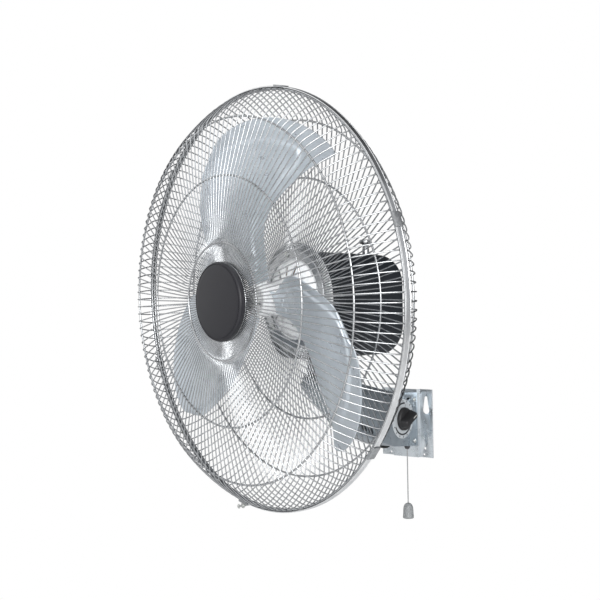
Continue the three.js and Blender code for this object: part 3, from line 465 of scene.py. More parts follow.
def makeGuard(name, settings, front):
    side = -1 if front else 1
    route = [(r, side * depth, 0) for r, depth in guardPath(settings, front)]
    wire = rodPiece("wire", route, settings["wire"])
    editAll()
    turns = settings["wires"]
    bpy.ops.mesh.spin(steps=turns - 1, angle=2 * math.pi * (turns - 1) / turns, dupli=True,
                      center=(0, 0, 0), axis=(0, 1, 0))
    endEdit()
    inward = settings["wire"] + settings["ringWire"] - settings["ringBite"]
    rings = [ringPiece(settings["rim"], side * settings["rimDepth"], settings["rimWire"])]
    for radius, depth in (settings["outerRing"], settings["middleRing"]):
        rings.append(ringPiece(radius - inward * settings["ringLean"], side * (depth - inward),
                               settings["ringWire"]))
    if front:
        radius, depth = settings["frontEnd"]
        rings.append(ringPiece(radius, side * (depth - settings["frontEndBite"]), settings["frontEndRing"]))
        radius, depth = settings["stepRing"]
        rings.append(ringPiece(radius, side * (depth - inward), settings["ringWire"]))
    else:
        plate = settings["plate"]
        middle = settings["rearEnd"][1]
        low, high, ease = middle - plate["half"], middle + plate["half"], plate["ease"]
        rings.append(turnedPiece("plate", [
            (plate["inner"], low + ease), (plate["inner"] + ease, low), (plate["outer"] - ease, low),
            (plate["outer"], low + ease), (plate["outer"], high - ease), (plate["outer"] - ease, high),
            (plate["inner"] + ease, high), (plate["inner"], high - ease)], steps=120, closed=True))
    return settled(joined(name, [wire] + rings), onHead)


frontGuard = makeGuard("frontGuard", guard, True)
rearGuard = makeGuard("rearGuard", guard, False)
finished(frontGuard, "head", "guard_wire", finish["guardWire"], "front_guard")
finished(rearGuard, "head", "guard_wire", finish["guardWire"], "rear_guard")
print("guards made")

# band and clips that hold the guards together
band = {"outer": 325, "half": 5.0, "sheet": 1.0, "curl": 1.4}


def makeBand(settings):
    r, half, sheet, curl = (settings[key] for key in ("outer", "half", "sheet", "curl"))
    outline = [(r, -half + 1.0), (r - 0.3, -half + 0.3), (r - 1, -half), (r - curl, -half),
               (r - curl - 0.3, -half + 0.5), (r - curl, -half + sheet), (r - sheet, -half + sheet + 0.4),
               (r - sheet, half - sheet - 0.4), (r - curl, half - sheet), (r - curl - 0.3, half - 0.5),
               (r - curl, half), (r - 1, half), (r - 0.3, half - 0.3), (r, half - 1.0),
               (r, half - 1.5), (r - 0.3, half - 1.9), (r - 0.3, -half + 1.9), (r, -half + 1.5)]
    return settled(turnedPiece("clampBand", outline, steps=240, closed=True), onHead)


clip = {"count": 6, "first": 80, "reach": 2.2, "seat": 325.3, "half": 5.3, "sheet": 1.2,
        "halfLength": 11, "soft": 0.35}
lockScrew = {
    "angle": -100, "out": 4, "ear": ((-0.6, -6.2, -3.5), (7.5, -5.0, 3.5)),
    "head": [(0, -14.6), (2.2, -14.4), (3.4, -13.6), (3.6, -12.6), (0, -12.6)],
    "shank": 1.6, "shankEnds": (-12.5, 8.5), "nut": 3.4, "nutEnds": (-4.9, -2.4),
    "earSoft": 0.4, "nutSoft": 0.25,
}


def makeClip(settings):
    # a strip bent over both edges of the band
    inside, outside = settings["seat"] - settings["reach"], settings["seat"] + settings["sheet"] / 2
    side, low = settings["half"] + settings["sheet"] / 2, -settings["halfLength"]
    strip = edgeChain("guardClip", [(inside, -side, low), (outside, -side, low), (outside, side, low),
                                    (inside, side, low)])
    editAll()
    bpy.ops.mesh.extrude_region_move(TRANSFORM_OT_translate={"value": (0, 0, 2 * settings["halfLength"])})
    bpy.ops.mesh.select_all(action="SELECT")
    bpy.ops.mesh.normals_make_consistent(inside=False)
    endEdit()
    applied(strip, "SOLIDIFY", thickness=settings["sheet"], offset=0, use_even_offset=True)
    return smoothed(rounded(strip, settings["soft"]))


def makeClipScrew(settings, seat):
    # lock screw with its nut, through an ear on the lowest clip
    line = seat + settings["out"]
    ear = boxPiece("ear", *[(seat + x, y, z) for x, y, z in settings["ear"]])
    rounded(ear, settings["earSoft"])
    low, high = settings["shankEnds"]
    shank = rodAt("shank", settings["shank"], (line, low, 0), (line, high, 0))
    head = turnedPiece("head", settings["head"], steps=24)
    head.data.transform(Matrix.Translation((line, 0, 0)))
    low, high = settings["nutEnds"]
    nut = rodAt("nut", settings["nut"], (line, low, 0), (line, high, 0), sides=6)
    rounded(nut, settings["nutSoft"])
    piece = joined("clipScrew", [ear, shank, head, nut])
    piece.data.transform(aroundY(settings["angle"]))
    return settled(piece, onHead)


finished(makeBand(band), "head", "bright_strip", finish["brightStrip"], "clamp_band")
clipModel = makeClip(clip)
for number in range(clip["count"]):
    turn = aroundY(clip["first"] - 360 / clip["count"] * number)
    piece = settled(copied(clipModel, f"guardClip{number + 1}", turn), onHead)
    finished(piece, "head", "bright_strip", finish["clipMetal"], f"guard_clip_{number + 1}")
bpy.data.objects.remove(clipModel)
finished(makeClipScrew(lockScrew, clip["seat"] + clip["sheet"]), "head", "zinc_screw", finish["screwZinc"])
print("band and clips made")

# badge
badgeShape = {"radius": 60, "back": -76.3, "front": -85.3, "crown": 2.5, "domeSteps": 10, "rimWidth": 4.6,
              "groove": 0.9}


def makeBadge(settings):
    r, back, front = settings["radius"], settings["back"], settings["front"]
    inner = r - settings["rimWidth"]
    outline = []
    for number in range(settings["domeSteps"] + 1):       # gently domed face
        radius = inner * number / settings["domeSteps"]
        outline.append((radius, front - settings["crown"] * (1 - (radius / inner) ** 2)))
    outline += [(inner + 0.3, front + 0.1), (inner + 0.5, front + settings["groove"]),
                (inner + 1.1, front + settings["groove"]), (inner + 1.3, front + 0.15),
                (inner + 1.6, front), (r - 1.9, front + 0.5), (r - 0.8, front + 1.4),
                (r - 0.2, front + 2.8), (r, front + 4.4), (r, back - 0.4), (r - 0.4, back),
                (r - 3, back), (r - 3.4, back - 0.6), (r - 3.8, front + 4.4), (0, front + 3.4)]
    return settled(turnedPiece("badgeCap", outline, steps=128), onHead)


finished(makeBadge(badgeShape), "head", "badge_black", finish["badgePlastic"], "badge")
print("badge made")

# blades
blade = {
    "count": 3, "phase": 101.6, "root": 42, "edge": 250, "tip": 278, "sheet": 2.0,
    "radii": [42, 70, 120, 170, 215, 250],
    "frontAngle": [34, 37, 36, 25.7, 16.4, 5.2], "frontBack": [-7, -18, -37, -43, -39, -34],
    "rearAngle": [-14, -10, -15, -26.9, -35.5, -43.3], "rearBack": [8, 7, 2, 10, 27, 39],
    "rows": 126, "columns": 112, "tongue": -0.06,
    "hollow": 5, "tipPower": 4, "tipFlat": 0.6,      # belly of the sheet, roundness of the tip
    "border": 14, "step": 5.0, "press": 3.2, "corner": 26,
    "panelRoot": 0.11, "panelTip": 0.9, "rootEase": 0.35,
    "rivets": [(0.03, 0.5), (0.075, 0.35), (0.075, 0.65)],
    "rivetHead": [(0, -2.4), (1.6, -2.2), (3.0, -1.5), (3.8, -0.3), (3.8, 0.6), (0, 0.6)],
    "rivetTail": [(0, 1.6), (3, 1.6), (3, 6.4), (2.4, 7.1), (0, 7.3)],
}


def alongEdge(settings, values, radius):
    radii = settings["radii"]
    last = len(radii) - 1
    k = max(0, min(last - 1, next((i for i, r in enumerate(radii) if r > radius), last) - 1))
    t = min(1, max(0, (radius - radii[k]) / (radii[k + 1] - radii[k])))
    before, after = values[max(0, k - 1)], values[min(last, k + 2)]
    startSlope, endSlope = (values[k + 1] - before) / 2, (after - values[k]) / 2
    return ((2 * t ** 3 - 3 * t ** 2 + 1) * values[k] + (t ** 3 - 2 * t ** 2 + t) * startSlope
            + (3 * t ** 2 - 2 * t ** 3) * values[k + 1] + (t ** 3 - t ** 2) * endSlope)


def bladePoint(settings, s, u):
    # s runs from root to tip, u from the rear edge to the front edge
    edge = settings["root"] + s * (settings["edge"] - settings["root"])
    bulge = max(s, 0) ** settings["tipPower"] * (settings["tip"] - settings["edge"])
    bulge *= math.sin(math.pi * u) ** settings["tipFlat"]
    angles = [alongEdge(settings, settings[key], edge) for key in ("rearAngle", "frontAngle")]
    backs = [alongEdge(settings, settings[key], edge) for key in ("rearBack", "frontBack")]
    middle, spread = (angles[0] + angles[1]) / 2, angles[1] - angles[0]
    spread *= max(1, settings["root"] / edge)        # the tongue keeps the width of the root
    angle = math.radians(middle + (u - 0.5) * spread)
    depth = backs[0] + u * (backs[1] - backs[0]) - settings["hollow"] * math.sin(math.pi * u) * max(s, 0)
    r = edge + bulge
    return Vector((r * math.cos(angle), depth, r * math.sin(angle))), math.radians(spread) * edge


def eased(value):
    value = min(1, max(0, value))
    return value * value * (3 - 2 * value)


def pressedBy(settings, s, u, chord):
    # the middle panel stands forward of a flat border
    border, corner = settings["border"], settings["corner"]
    length = settings["edge"] - settings["root"]
    fromEdge = min(u, 1 - u) * chord - border
    fromTip = (settings["panelTip"] - s) * length
    inside = min(fromEdge, fromTip)
    if fromEdge < corner and fromTip < corner:
        inside = corner - math.hypot(corner - fromEdge, corner - fromTip)
    fromRoot = (s - settings["panelRoot"]) * length
    share = min(eased(each / settings["step"]) for each in (inside, fromRoot * settings["rootEase"]))
    return settings["press"] * share


def makeBlade(settings):
    rows, columns = settings["rows"], settings["columns"]
    nothingPicked()
    bpy.ops.mesh.primitive_grid_add(x_subdivisions=columns, y_subdivisions=rows, size=1)
    sheet = named("bladeModel")
    for vertex in sheet.data.vertices:
        u, along = min(1, max(0, vertex.co.x + 0.5)), min(1, max(0, vertex.co.y + 0.5))
        s = settings["tongue"] + along * (1 - settings["tongue"])
        place, chord = bladePoint(settings, s, u)
        vertex.co = place + Vector((0, -pressedBy(settings, s, u, chord), 0))
    editAll()
    bpy.ops.mesh.flip_normals()
    endEdit()
    facing = sum((polygon.normal.y * polygon.area for polygon in sheet.data.polygons), 0.0)
    applied(sheet, "SOLIDIFY", thickness=settings["sheet"], offset=-1 if facing < 0 else 1)
    editAll()
    bpy.ops.mesh.normals_make_consistent(inside=False)
    endEdit()
    smoothed(sheet, 50)
    rivets = []
    for s, u in settings["rivets"]:
        place = bladePoint(settings, s, u)[0]
        for part in ("rivetHead", "rivetTail"):
            piece = turnedPiece(part, [(r, place.y + y) for r, y in settings[part]], steps=20)
            piece.data.transform(Matrix.Translation((place.x, 0, place.z)))
            rivets.append(piece)
    return joined("bladeModel", [sheet] + rivets)


bladeModel = makeBlade(blade)
for number in range(blade["count"]):
    turn = aroundY(blade["phase"] + 360 / blade["count"] * number)
    piece = settled(copied(bladeModel, f"blade{number + 1}", turn), onHead)
    finished(piece, "rotor", "blade_metal", finish["bladeSheet"], f"blade_{number + 1}")
bpy.data.objects.remove(bladeModel)
print("blades made")

# motor shield and cover
shield = {
    "flange": 88, "front": 62, "thick": 6, "nose": 42, "bearing": 16.3, "spigot": 66.3,
    "ventInner": 38, "ventOuter": 50, "ventHalf": 3.5, "ventSpread": 24.5, "ventFirst": 99,
    "hole": 3, "holeRing": 41, "holeFirst": 39, "screwRing": 70.8, "screwFirst": 100.7, "screwHole": 2.3,
    "cutBehind": 2, "cutAhead": 4, "skirtEnd": 106, "skirtWall": 4,
}


def ventCutter(settings, degrees):
    low, high = settings["nose"] - settings["cutBehind"], settings["front"] + 2 * settings["cutAhead"]
    ends = [rodAt("vent", settings["ventHalf"], (r, low, 0), (r, high, 0))
            for r in (settings["ventInner"], settings["ventOuter"])]
    middle = boxPiece("vent", (settings["ventInner"], low, -settings["ventHalf"]),
                      (settings["ventOuter"], high, settings["ventHalf"]))
    for end in ends:
        applied(middle, "BOOLEAN", operation="UNION", object=end, solver="EXACT")
        bpy.data.objects.remove(end)
    middle.data.transform(aroundY(degrees))
    return middle


def makeShield(settings):
    f, n, t, r = (settings[key] for key in ("front", "nose", "thick", "bearing"))
    edge, spigot, skirt = settings["flange"], settings["spigot"], settings["spigot"] + settings["skirtWall"]
    dish = [(r, n + 0.5), (r + 0.6, n), (23.4, n), (24, n + 0.4), (25.5, n + 2.8), (27.5, n + 5.1),
            (31, n + 6.4), (46, n + 9.8), (51, n + 11.4), (55, n + 14.6), (58.4, f - 3), (59.4, f - 1.8)]
    groove = [(60, f + 1.8), (63.2, f + 1.8), (63.8, f + 0.5)]
    flange = [(64.6, f), (edge - 2.4, f), (edge - 1, f + 0.3), (edge - 0.3, f + 1), (edge, f + 2),
              (edge, f + t - 0.6), (edge - 0.6, f + t), (skirt, f + t)]
    back = [(skirt, settings["skirtEnd"]), (spigot, settings["skirtEnd"]), (spigot, f + 4), (50, n + 15),
            (27, n + 9), (24, n + 18), (r, n + 18)]
    outline = dish + groove + flange + back
    body = turnedPiece("motorShield", outline, steps=120, closed=True)
    cutters = []
    for part in range(3):
        turn = 120 * part
        for offset in (-1, 0, 1):
            angle = settings["ventFirst"] + offset * settings["ventSpread"] + turn
            cutters.append(ventCutter(settings, angle))
        for ring, first, radius in ((settings["holeRing"], settings["holeFirst"], settings["hole"]),
                                    (settings["screwRing"], settings["screwFirst"], settings["screwHole"])):
            hole = rodAt("hole", radius, (ring, n - settings["cutBehind"], 0),
                         (ring, f + t + settings["cutAhead"], 0))
            hole.data.transform(aroundY(first + turn))
            cutters.append(hole)
    cutWith(body, *cutters)
    return settled(smoothed(body), onHead)


cover = {
    "half": 78, "top": 74, "bottom": -95, "corner": 52, "cornerSteps": 18, "front": 68.3, "rear": 228,
    "rearTop": 66, "round": 13, "roundSteps": 10, "wall": 2.5, "slack": 0.1, "facing": 0.9,
    # holes: x, y, radius, from, to, sides
    "stem": (19, 195.5, 6.4, 40, 100, 40), "neck": (0, 120, 28.5, -110, -80, 64),
}


def clearParts(piece, kind):
    pick(piece)
    bpy.ops.object.mode_set(mode="EDIT")
    bpy.ops.mesh.select_mode(type=kind)
    bpy.ops.mesh.select_all(action="DESELECT")
    endEdit()


def pickEdges(piece, rule):
    clearParts(piece, "EDGE")
    points = piece.data.vertices
    for edge in piece.data.edges:
        edge.select = rule(points[edge.vertices[0]].co, points[edge.vertices[1]].co)
    bpy.ops.object.mode_set(mode="EDIT")


def makeCover(settings):
    half, rear, front = settings["half"], settings["rear"], settings["front"]
    nearRear = rear - settings["slack"]
    body = boxPiece("motorCover", (-half, front, settings["bottom"]), (half, rear, settings["top"]))
    pickEdges(body, lambda a, b: abs(a.y - b.y) > 1)
    bpy.ops.mesh.bevel(offset=settings["corner"], segments=settings["cornerSteps"], affect="EDGES")
    endEdit()
    for vertex in body.data.vertices:
        if vertex.co.y > nearRear and vertex.co.z > 0:
            vertex.co.z *= settings["rearTop"] / settings["top"]
    pickEdges(body, lambda a, b: a.y > nearRear and b.y > nearRear)
    bpy.ops.mesh.bevel(offset=settings["round"], segments=settings["roundSteps"], affect="EDGES")
    endEdit()
    clearParts(body, "FACE")
    for polygon in body.data.polygons:
        polygon.select = polygon.normal.y < -settings["facing"]      # the open front
    bpy.ops.object.mode_set(mode="EDIT")
    bpy.ops.mesh.delete(type="FACE")
    endEdit()
    applied(body, "SOLIDIFY", thickness=settings["wall"], offset=-1, use_even_offset=True)
    for key in ("stem", "neck"):
        x, y, radius, low, high, sides = settings[key]
        cutWith(body, rodAt(key, radius, (x, y, low), (x, y, high), sides=sides))
    return settled(smoothed(body, 40), onHead)


clutch = {"place": (19, 195.5), "rise": 92, "cap": 10, "stem": 5.6, "foot": 28.6}


def makeClutchKnob(settings):
    top, cap, stem = settings["rise"], settings["cap"], settings["stem"]
    outline = [(0, settings["foot"]), (stem, settings["foot"]), (stem, top - 15), (stem - 0.5, top - 14.4),
               (stem - 0.5, top - 9), (stem + 0.2, top - 7.4), (cap - 1.2, top - 6.9),
               (cap - 0.3, top - 6.2), (cap, top - 5.4), (cap, top - 1.8), (cap - 0.5, top - 0.9),
               (cap - 1.5, top - 0.3), (cap - 2.4, top), (2, top), (1.2, top - 0.5), (0, top - 0.6)]
    knob = turnedPiece("clutchKnob", outline, steps=60, axis="Z")
    knob.data.transform(Matrix.Translation((*settings["place"], 0)))
    return settled(knob, onHead)


finished(makeShield(shield), "head", "shield_metal", finish["castMetal"], "motor_shield")
finished(makeCover(cover), "head", "cover_black", finish["coverPaint"], "motor_cover")
finished(makeClutchKnob(clutch), "clutch", "knob_chrome", finish["clutchChrome"], "clutch_knob")
print("motor shell made")

# screws with crossed slots
screw = {"radius": 3.6, "height": 2.1, "shank": 2, "slotHalf": 0.45, "slotReach": 1.9, "slotDepth": 1.1,
         "crossShare": 0.9}


def makeScrew(settings, shankLength):
    # head along +X, seat at x = 0
    r, h, shank = settings["radius"], settings["height"], settings["shank"]
    crown = [(r * 0.35, h - 0.06), (r * 0.65, h - 0.3), (r * 0.88, h - 0.8), (r, h - 1.4), (r, 0)]
    foot = [(shank, 0), (shank, -shankLength), (shank * 0.6, -shankLength - 1), (0, -shankLength - 1)]
    body = turnedPiece("screwModel", [(0, h)] + crown + foot, steps=32, axis="X")
    reach, half, depth = settings["slotReach"], settings["slotHalf"], settings["slotDepth"]
    cutWith(body, boxPiece("slot", (h - depth, -reach, -half), (h + 1, reach, half)),
            boxPiece("slot", (h - depth * settings["crossShare"], -half, -reach), (h + 1, half, reach)))
    return smoothed(body, 40)


sideScrews = {"places": [(19, 43), (19, -29)], "seat": 25.8, "shank": 5.5,
              "slotFirst": 23, "slotStep": 31}      # slots in degrees
sideModel = makeScrew(screw, sideScrews["shank"])
for number, (out, height) in enumerate(sideScrews["places"]):
    for side, word in ((1, "right"), (-1, "left")):
        angle = sideScrews["slotFirst"] + sideScrews["slotStep"] * number
        tilt = Matrix.Rotation(math.radians(angle), 4, "X")
        place = Matrix.Translation((side * sideScrews["seat"], -out, height))
        flip = Matrix.Rotation(0 if side > 0 else math.pi, 4, "Z")
        piece = settled(copied(sideModel, f"sideScrew_{word}_{number + 1}", place @ flip @ tilt), onBracket)
        finished(piece, "mount", "zinc_screw", finish["screwZinc"], f"side_screw_{word}_{number + 1}")
bpy.data.objects.remove(sideModel)

guardScrews = {"ring": 70.8, "first": 100.7, "seat": 58.4, "scale": 1.35, "shank": 6,
               "slotFirst": 0, "slotStep": 0.7}      # slots in radians
hubScrews = {"ring": 15.3, "first": 104, "seat": -16, "scale": 0.95, "shank": 3,
             "slotFirst": 0.5, "slotStep": 1}


def placeRoundScrews(name, settings):
    # three screws in a ring, heads towards the front
    model = makeScrew(screw, settings["shank"])
    forward = Matrix.Rotation(-math.pi / 2, 4, "Z")
    placed = []
    for number in range(3):
        seat = Matrix.Translation((settings["ring"], settings["seat"], 0))
        slots = Matrix.Rotation(settings["slotFirst"] + settings["slotStep"] * number, 4, "X")
        matrix = aroundY(settings["first"] + 120 * number) @ seat @ forward @ slots
        matrix = matrix @ Matrix.Scale(settings["scale"], 4)
        placed.append(settled(copied(model, f"{name}{number + 1}", matrix), onHead))
    bpy.data.objects.remove(model)
    return placed


for number, piece in enumerate(placeRoundScrews("guardScrew", guardScrews)):
    finished(piece, "head", "zinc_screw", finish["screwZinc"], f"guard_screw_{number + 1}")
# the hub screws take the darker clip finish: painted shade, dark heads standing for the shaded holes in the
# hub face
for piece in placeRoundScrews("hubScrew", hubScrews):
    finished(piece, "rotor", "zinc_screw", finish["clipMetal"])
print("screws made")

# dial and speed knob
dial = {
    "y": -58, "z": 14, "radius": 34, "back": 25.8, "sheet": 1.0, "bore": 5,
    "ink": 0.12, "inkSink": 0.2, "marks": 16, "markIn": 29.4, "markOut": 32.6, "markHalf": 0.8,
    "numbers": "0123", "numberRing": 23.4, "numberFirst": 25, "numberStep": 45, "numberSize": 5.6,
    "arcs": ((205, 335), (78, 128)), "arcIn": 25.6, "arcOut": 28.4, "arcSteps": 24,
}


def makeDial(settings):
    back, front, r = settings["back"], settings["back"] + settings["sheet"], settings["radius"]
    bore = settings["bore"]
    outline = [(bore, back), (r, back), (r, front - 0.5), (r - 0.3, front - 0.15), (r - 0.7, front),
               (bore + 0.2, front), (bore, front - 0.2)]
    plate = turnedPiece("dialPlate", outline, axis="X", closed=True)
    plate.data.transform(Matrix.Translation((0, settings["y"], settings["z"])))
    return settled(plate, onBracket)


def makeDialMarks(settings):
    front = settings["back"] + settings["sheet"]
    marks = []
    for number in range(settings["marks"]):
        mark = boxPiece("mark", (front - settings["inkSink"], -settings["markHalf"], settings["markIn"]),
                        (front + settings["ink"], settings["markHalf"], settings["markOut"]))
        mark.data.transform(Matrix.Rotation(2 * math.pi * number / settings["marks"], 4, "X"))
        marks.append(mark)
    for number, word in enumerate(settings["numbers"]):
        nothingPicked()
        bpy.ops.object.text_add()
        text = bpy.context.object
        text.data.body = word
        text.data.size = settings["numberSize"]
        text.data.align_x = "CENTER"
        text.data.align_y = "CENTER"
        text.data.extrude = settings["ink"]
        bpy.ops.object.convert(target="MESH")
        angle = math.radians(settings["numberFirst"] + number * settings["numberStep"])
        upright = Matrix.Rotation(math.pi / 2, 4, "Z") @ Matrix.Rotation(math.pi / 2, 4, "X")
        ring = settings["numberRing"]
        place = Matrix.Translation((front, ring * math.cos(angle), ring * math.sin(angle)))
        bpy.context.object.data.transform(place @ upright)
        marks.append(bpy.context.object)
    for start, end in settings["arcs"]:
        level = front + settings["ink"]
        arc = edgeChain("arc", [(level, 0, settings["arcIn"]), (level, 0, settings["arcOut"])])
        editAll()
        bpy.ops.mesh.spin(steps=settings["arcSteps"], angle=math.radians(end - start), center=(0, 0, 0),
                          axis=(-1, 0, 0))
        endEdit()
        applied(arc, "SOLIDIFY", thickness=2 * settings["ink"], offset=0)
        arc.data.transform(Matrix.Rotation(math.radians(start - 90), 4, "X"))
        marks.append(arc)
    ink = joined("dialMarks", marks)
    ink.data.transform(Matrix.Translation((0, settings["y"], settings["z"])))
    return settled(ink, onBracket)


knob = {
    "seat": 27.1, "height": 19, "radius": 20, "skirt": 6.5, "pointer": -65, "spindle": 3, "spindleFrom": 24,
    "gripHalf": 8.2, "topHalf": 5.2, "gripPast": 0.5, "topShare": 0.86, "gripRound": 4.2, "gripSoft": 1.3,
    "lineHalf": 0.8, "lineFrom": 4.0, "lineTo": 14.5, "lineSink": 0.3, "lineInk": 0.12, "lineSoft": 0.1,
}
knobTurn = Matrix.Rotation(math.radians(knob["pointer"]), 4, "X")
knobTurn = Matrix.Translation((0, dial["y"], dial["z"])) @ knobTurn


def makeSpeedKnob(settings):
    x0, r = settings["seat"], settings["radius"]
    top = x0 + settings["height"]
    edge = x0 + settings["skirt"]
    outline = [(0, x0), (r - 0.4, x0), (r, x0 + 0.5), (r - 0.5, edge - 1.6), (r - 1.2, edge - 0.6),
               (r - 2.4, edge), (0, edge + 0.8)]
    skirt = turnedPiece("skirt", outline, steps=72, axis="X")
    half = settings["gripHalf"]
    grip = boxPiece("grip", (edge - 1, -half, -r), (top, half, r + settings["gripPast"]))
    for vertex in grip.data.vertices:
        if vertex.co.x > edge:
            vertex.co.y *= settings["topHalf"] / half
            vertex.co.z *= settings["topShare"]
    pickEdges(grip, lambda a, b: abs(a.x - b.x) > 1)
    bpy.ops.mesh.bevel(offset=settings["gripRound"], segments=6, affect="EDGES")
    endEdit()
    rounded(grip, settings["gripSoft"], segments=4, angle=50)
    smoothed(grip, 40)
    spindle = rodAt("spindle", settings["spindle"], (settings["spindleFrom"], 0, 0), (x0 + 1, 0, 0))
    body = joined("speedKnob", [skirt, grip, spindle])
    body.data.transform(knobTurn)
    return settled(body, onBracket)


def makeKnobLine(settings):
    top = settings["seat"] + settings["height"]
    half = settings["lineHalf"]
    line = boxPiece("knobLine", (top - settings["lineSink"], -half, settings["lineFrom"]),
                    (top + settings["lineInk"], half, settings["lineTo"]))
    rounded(line, settings["lineSoft"])
    line.data.transform(knobTurn)
    return settled(line, onBracket)


finished(makeDial(dial), "mount", "dial_metal", finish["dialSheet"], "dial_plate")
finished(makeDialMarks(dial), "mount", "dial_metal", finish["dialInk"])
finished(makeSpeedKnob(knob), "speed_knob", "knob_black", finish["knobPlastic"], "speed_knob")
finished(makeKnobLine(knob), "speed_knob", "knob_black", finish["knobInk"])
print("dial and knob made")

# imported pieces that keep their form, with their edges eased: name, look, width of the bevel
softened = {
    # the arm channel takes the darker zinc copy, painted shade
    "wall_plate": ("wallPlate", "zincSheet", 0.35), "arm_channel": ("armChannel", "armZincPaintedShade", 0.4),
    "arm_cover": ("armCover", "zincSheet", 0.3), "neck_casting": ("neckCasting", "greyCasting", 0.7),
    "tilt_bolt": ("tiltBolt", "screwZinc", 0.35), "tilt_nut": ("tiltNut", "screwZinc", 0.3),
    "blade_hub": ("bladeHub", "castMetal", 0.3), "hub_nut": ("hubNut", "screwZinc", 0.4),
    "rear_frame": ("rearFrame", "greyCasting", 0.5), "pull_gland": ("pullGland", "switchPlastic", 0.2),
    "supply_grommet": ("supplyGrommet", "rubber", 0.3), "gearbox_case": ("gearboxCase", "greyCasting", 0.4),
}
softening = {"merge": 0.00001, "flat": 0.01, "shape": 0.6, "edgeAngle": 38, "smoothAngle": 32}


def softenedCopy(node, name, width, settings):
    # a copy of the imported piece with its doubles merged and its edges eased
    piece = copied(nodes[node], name, Matrix.Identity(4))
    piece.parent = None
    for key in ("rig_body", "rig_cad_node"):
        if key in piece:
            del piece[key]
    pick(piece)
    editAll()
    bpy.ops.mesh.remove_doubles(threshold=settings["merge"])
    bpy.ops.mesh.tris_convert_to_quads(face_threshold=settings["flat"], shape_threshold=settings["shape"])
    endEdit()
    rounded(piece, width / 1000, angle=settings["edgeAngle"])
    return smoothed(piece, settings["smoothAngle"])


for node, (name, look, width) in softened.items():
    body = nodes[node]["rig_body"]
    slot = next(row["material_slot"] for row in frame["record"]["subparts"] if row["node"] == node)
    finished(softenedCopy(node, name, width, softening), body, slot, finish[look], node)

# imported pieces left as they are, with a look of their own
plain = {
    "speed_switch": "switchPlastic", "run_capacitor": "palePlastic", "terminal_block": "palePlastic",
    "pull_switch": "switchPlastic", "pan_bush": "bronzeBush", "crank_link": "groundSteel",
    "stator_core": "laminations", "winding_front": "copperWinding", "winding_rear": "copperWinding",
    "bearing_front": "groundSteel", "bearing_rear": "groundSteel", "pan_pin": "groundSteel",
    "worm_wheel": "bronzeBush", "pinion_shaft": "groundSteel", "crank_gear": "groundSteel",
    "motor_shaft": "groundSteel", "rotor_core": "laminations",
}
for node, look in plain.items():
    nodes[node].data.materials.clear()
    nodes[node].data.materials.append(finish[look])
print("carried pieces dressed:", len(softened) + len(plain))

# floor, lights and air
studio = {"floorDrop": 0.62, "floorSize": 12, "paper": (0.85, 0.85, 0.85, 1), "paperRough": 0.9,
          "white": (1, 1, 1, 1)}


def makeFloor(settings):
    nothingPicked()
    bpy.ops.mesh.primitive_plane_add(size=settings["floorSize"], location=(0, 0, -settings["floorDrop"]))
    floor = named("floor")
    material = bpy.data.materials.new("floorPaper")
    material.use_nodes = True
    tree = material.node_tree
    shader = tree.nodes["Principled BSDF"]
    shader.inputs["Base Color"].default_value = settings["paper"]
    shader.inputs["Roughness"].default_value = settings["paperRough"]
    glow = addNode(tree, "ShaderNodeEmission", {"Color": settings["white"], "Strength": 1.0})
    sight = addNode(tree, "ShaderNodeLightPath")
    mixed = addNode(tree, "ShaderNodeMixShader")
    tree.links.new(sight.outputs["Is Camera Ray"], mixed.inputs["Fac"])
    tree.links.new(shader.outputs["BSDF"], mixed.inputs[1])
    tree.links.new(glow.outputs["Emission"], mixed.inputs[2])
    tree.links.new(mixed.outputs["Shader"], tree.nodes["Material Output"].inputs["Surface"])
    floor.data.materials.append(material)


air = {
    "walls": ((-1, -0.3, 0.3), (1, -0.3, 0.3)),      # soft walls of light, left and right
    "from": -0.2, "to": 1.0,
    "levels": ((0.0, 0.04), (0.35, 0.07), (0.6, 0.17), (0.8, 0.5), (1.0, 1.0)), "tint": (0.97, 0.99, 1.03),
}


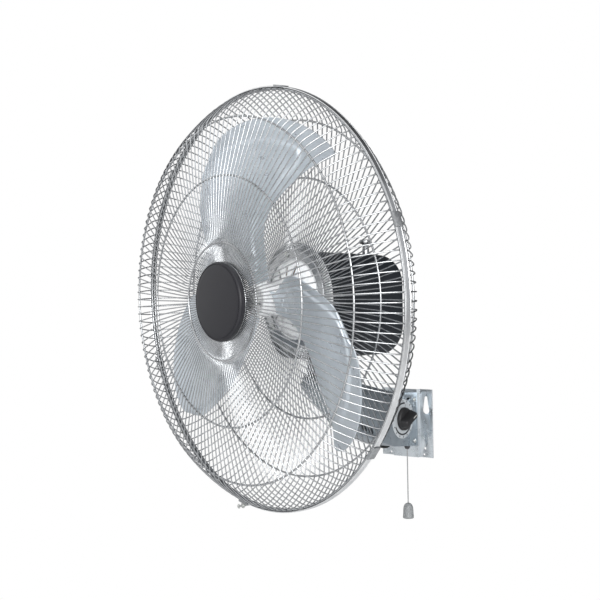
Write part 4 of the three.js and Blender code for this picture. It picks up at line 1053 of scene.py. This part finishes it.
def makeAir(settings, white):
    # white behind the object, a softer sky for what the metal mirrors
    world = bpy.data.worlds.new("studioAir")
    world.use_nodes = True
    tree = world.node_tree
    tree.nodes.clear()
    coords = addNode(tree, "ShaderNodeTexCoord")
    brightest = addNode(tree, "ShaderNodeMath", operation="MAXIMUM")
    for number, wall in enumerate(settings["walls"]):
        side = addNode(tree, "ShaderNodeVectorMath", operation="DOT_PRODUCT")
        side.inputs[1].default_value = wall
        tree.links.new(coords.outputs["Generated"], side.inputs[0])
        tree.links.new(side.outputs["Value"], brightest.inputs[number])
    spread = addNode(tree, "ShaderNodeMapRange", {"From Min": settings["from"], "From Max": settings["to"]})
    ramp = addNode(tree, "ShaderNodeValToRGB")
    for position, level in settings["levels"]:
        element = ramp.color_ramp.elements.new(position)
        element.color = (*(level * share for share in settings["tint"]), 1)
    ramp.color_ramp.elements.remove(ramp.color_ramp.elements[0])
    ramp.color_ramp.elements.remove(ramp.color_ramp.elements[-1])
    sight = addNode(tree, "ShaderNodeLightPath")
    seen = addNode(tree, "ShaderNodeBackground", {"Color": white, "Strength": 1.0})
    felt = addNode(tree, "ShaderNodeBackground", {"Strength": 1.0})
    mixed = addNode(tree, "ShaderNodeMixShader")
    out = addNode(tree, "ShaderNodeOutputWorld")
    tree.links.new(brightest.outputs["Value"], spread.inputs["Value"])
    tree.links.new(spread.outputs["Result"], ramp.inputs["Fac"])
    tree.links.new(ramp.outputs["Color"], felt.inputs["Color"])
    tree.links.new(sight.outputs["Is Camera Ray"], mixed.inputs["Fac"])
    tree.links.new(felt.outputs["Background"], mixed.inputs[1])
    tree.links.new(seen.outputs["Background"], mixed.inputs[2])
    tree.links.new(mixed.outputs["Shader"], out.inputs["Surface"])
    bpy.context.scene.world = world


lampTarget = (0, -0.25, 0.2)
lamps = {
    "key": {"spot": (2.2, -2.3, 0.9), "size": 1.5, "power": 58},
    "top": {"spot": (0.3, -1.4, 2.3), "size": 2.4, "power": 26},
    "front": {"spot": (0.7, -2.4, 0.55), "size": 1.4, "power": 20},
}


def makeLamps(settings, target):
    for name, lamp in settings.items():
        data = bpy.data.lights.new(name, "AREA")
        data.shape = "SQUARE"
        data.size = lamp["size"]
        data.energy = lamp["power"]
        light = bpy.data.objects.new(name, data)
        light.location = lamp["spot"]
        light.rotation_mode = "QUATERNION"
        line = Vector(target) - Vector(lamp["spot"])
        light.rotation_quaternion = line.to_track_quat("-Z", "Y")
        bpy.context.scene.collection.objects.link(light)


makeFloor(studio)
makeAir(air, studio["white"])
makeLamps(lamps, lampTarget)
bpy.context.scene.view_settings.view_transform = "Standard"
print("studio made")

nothingPicked()
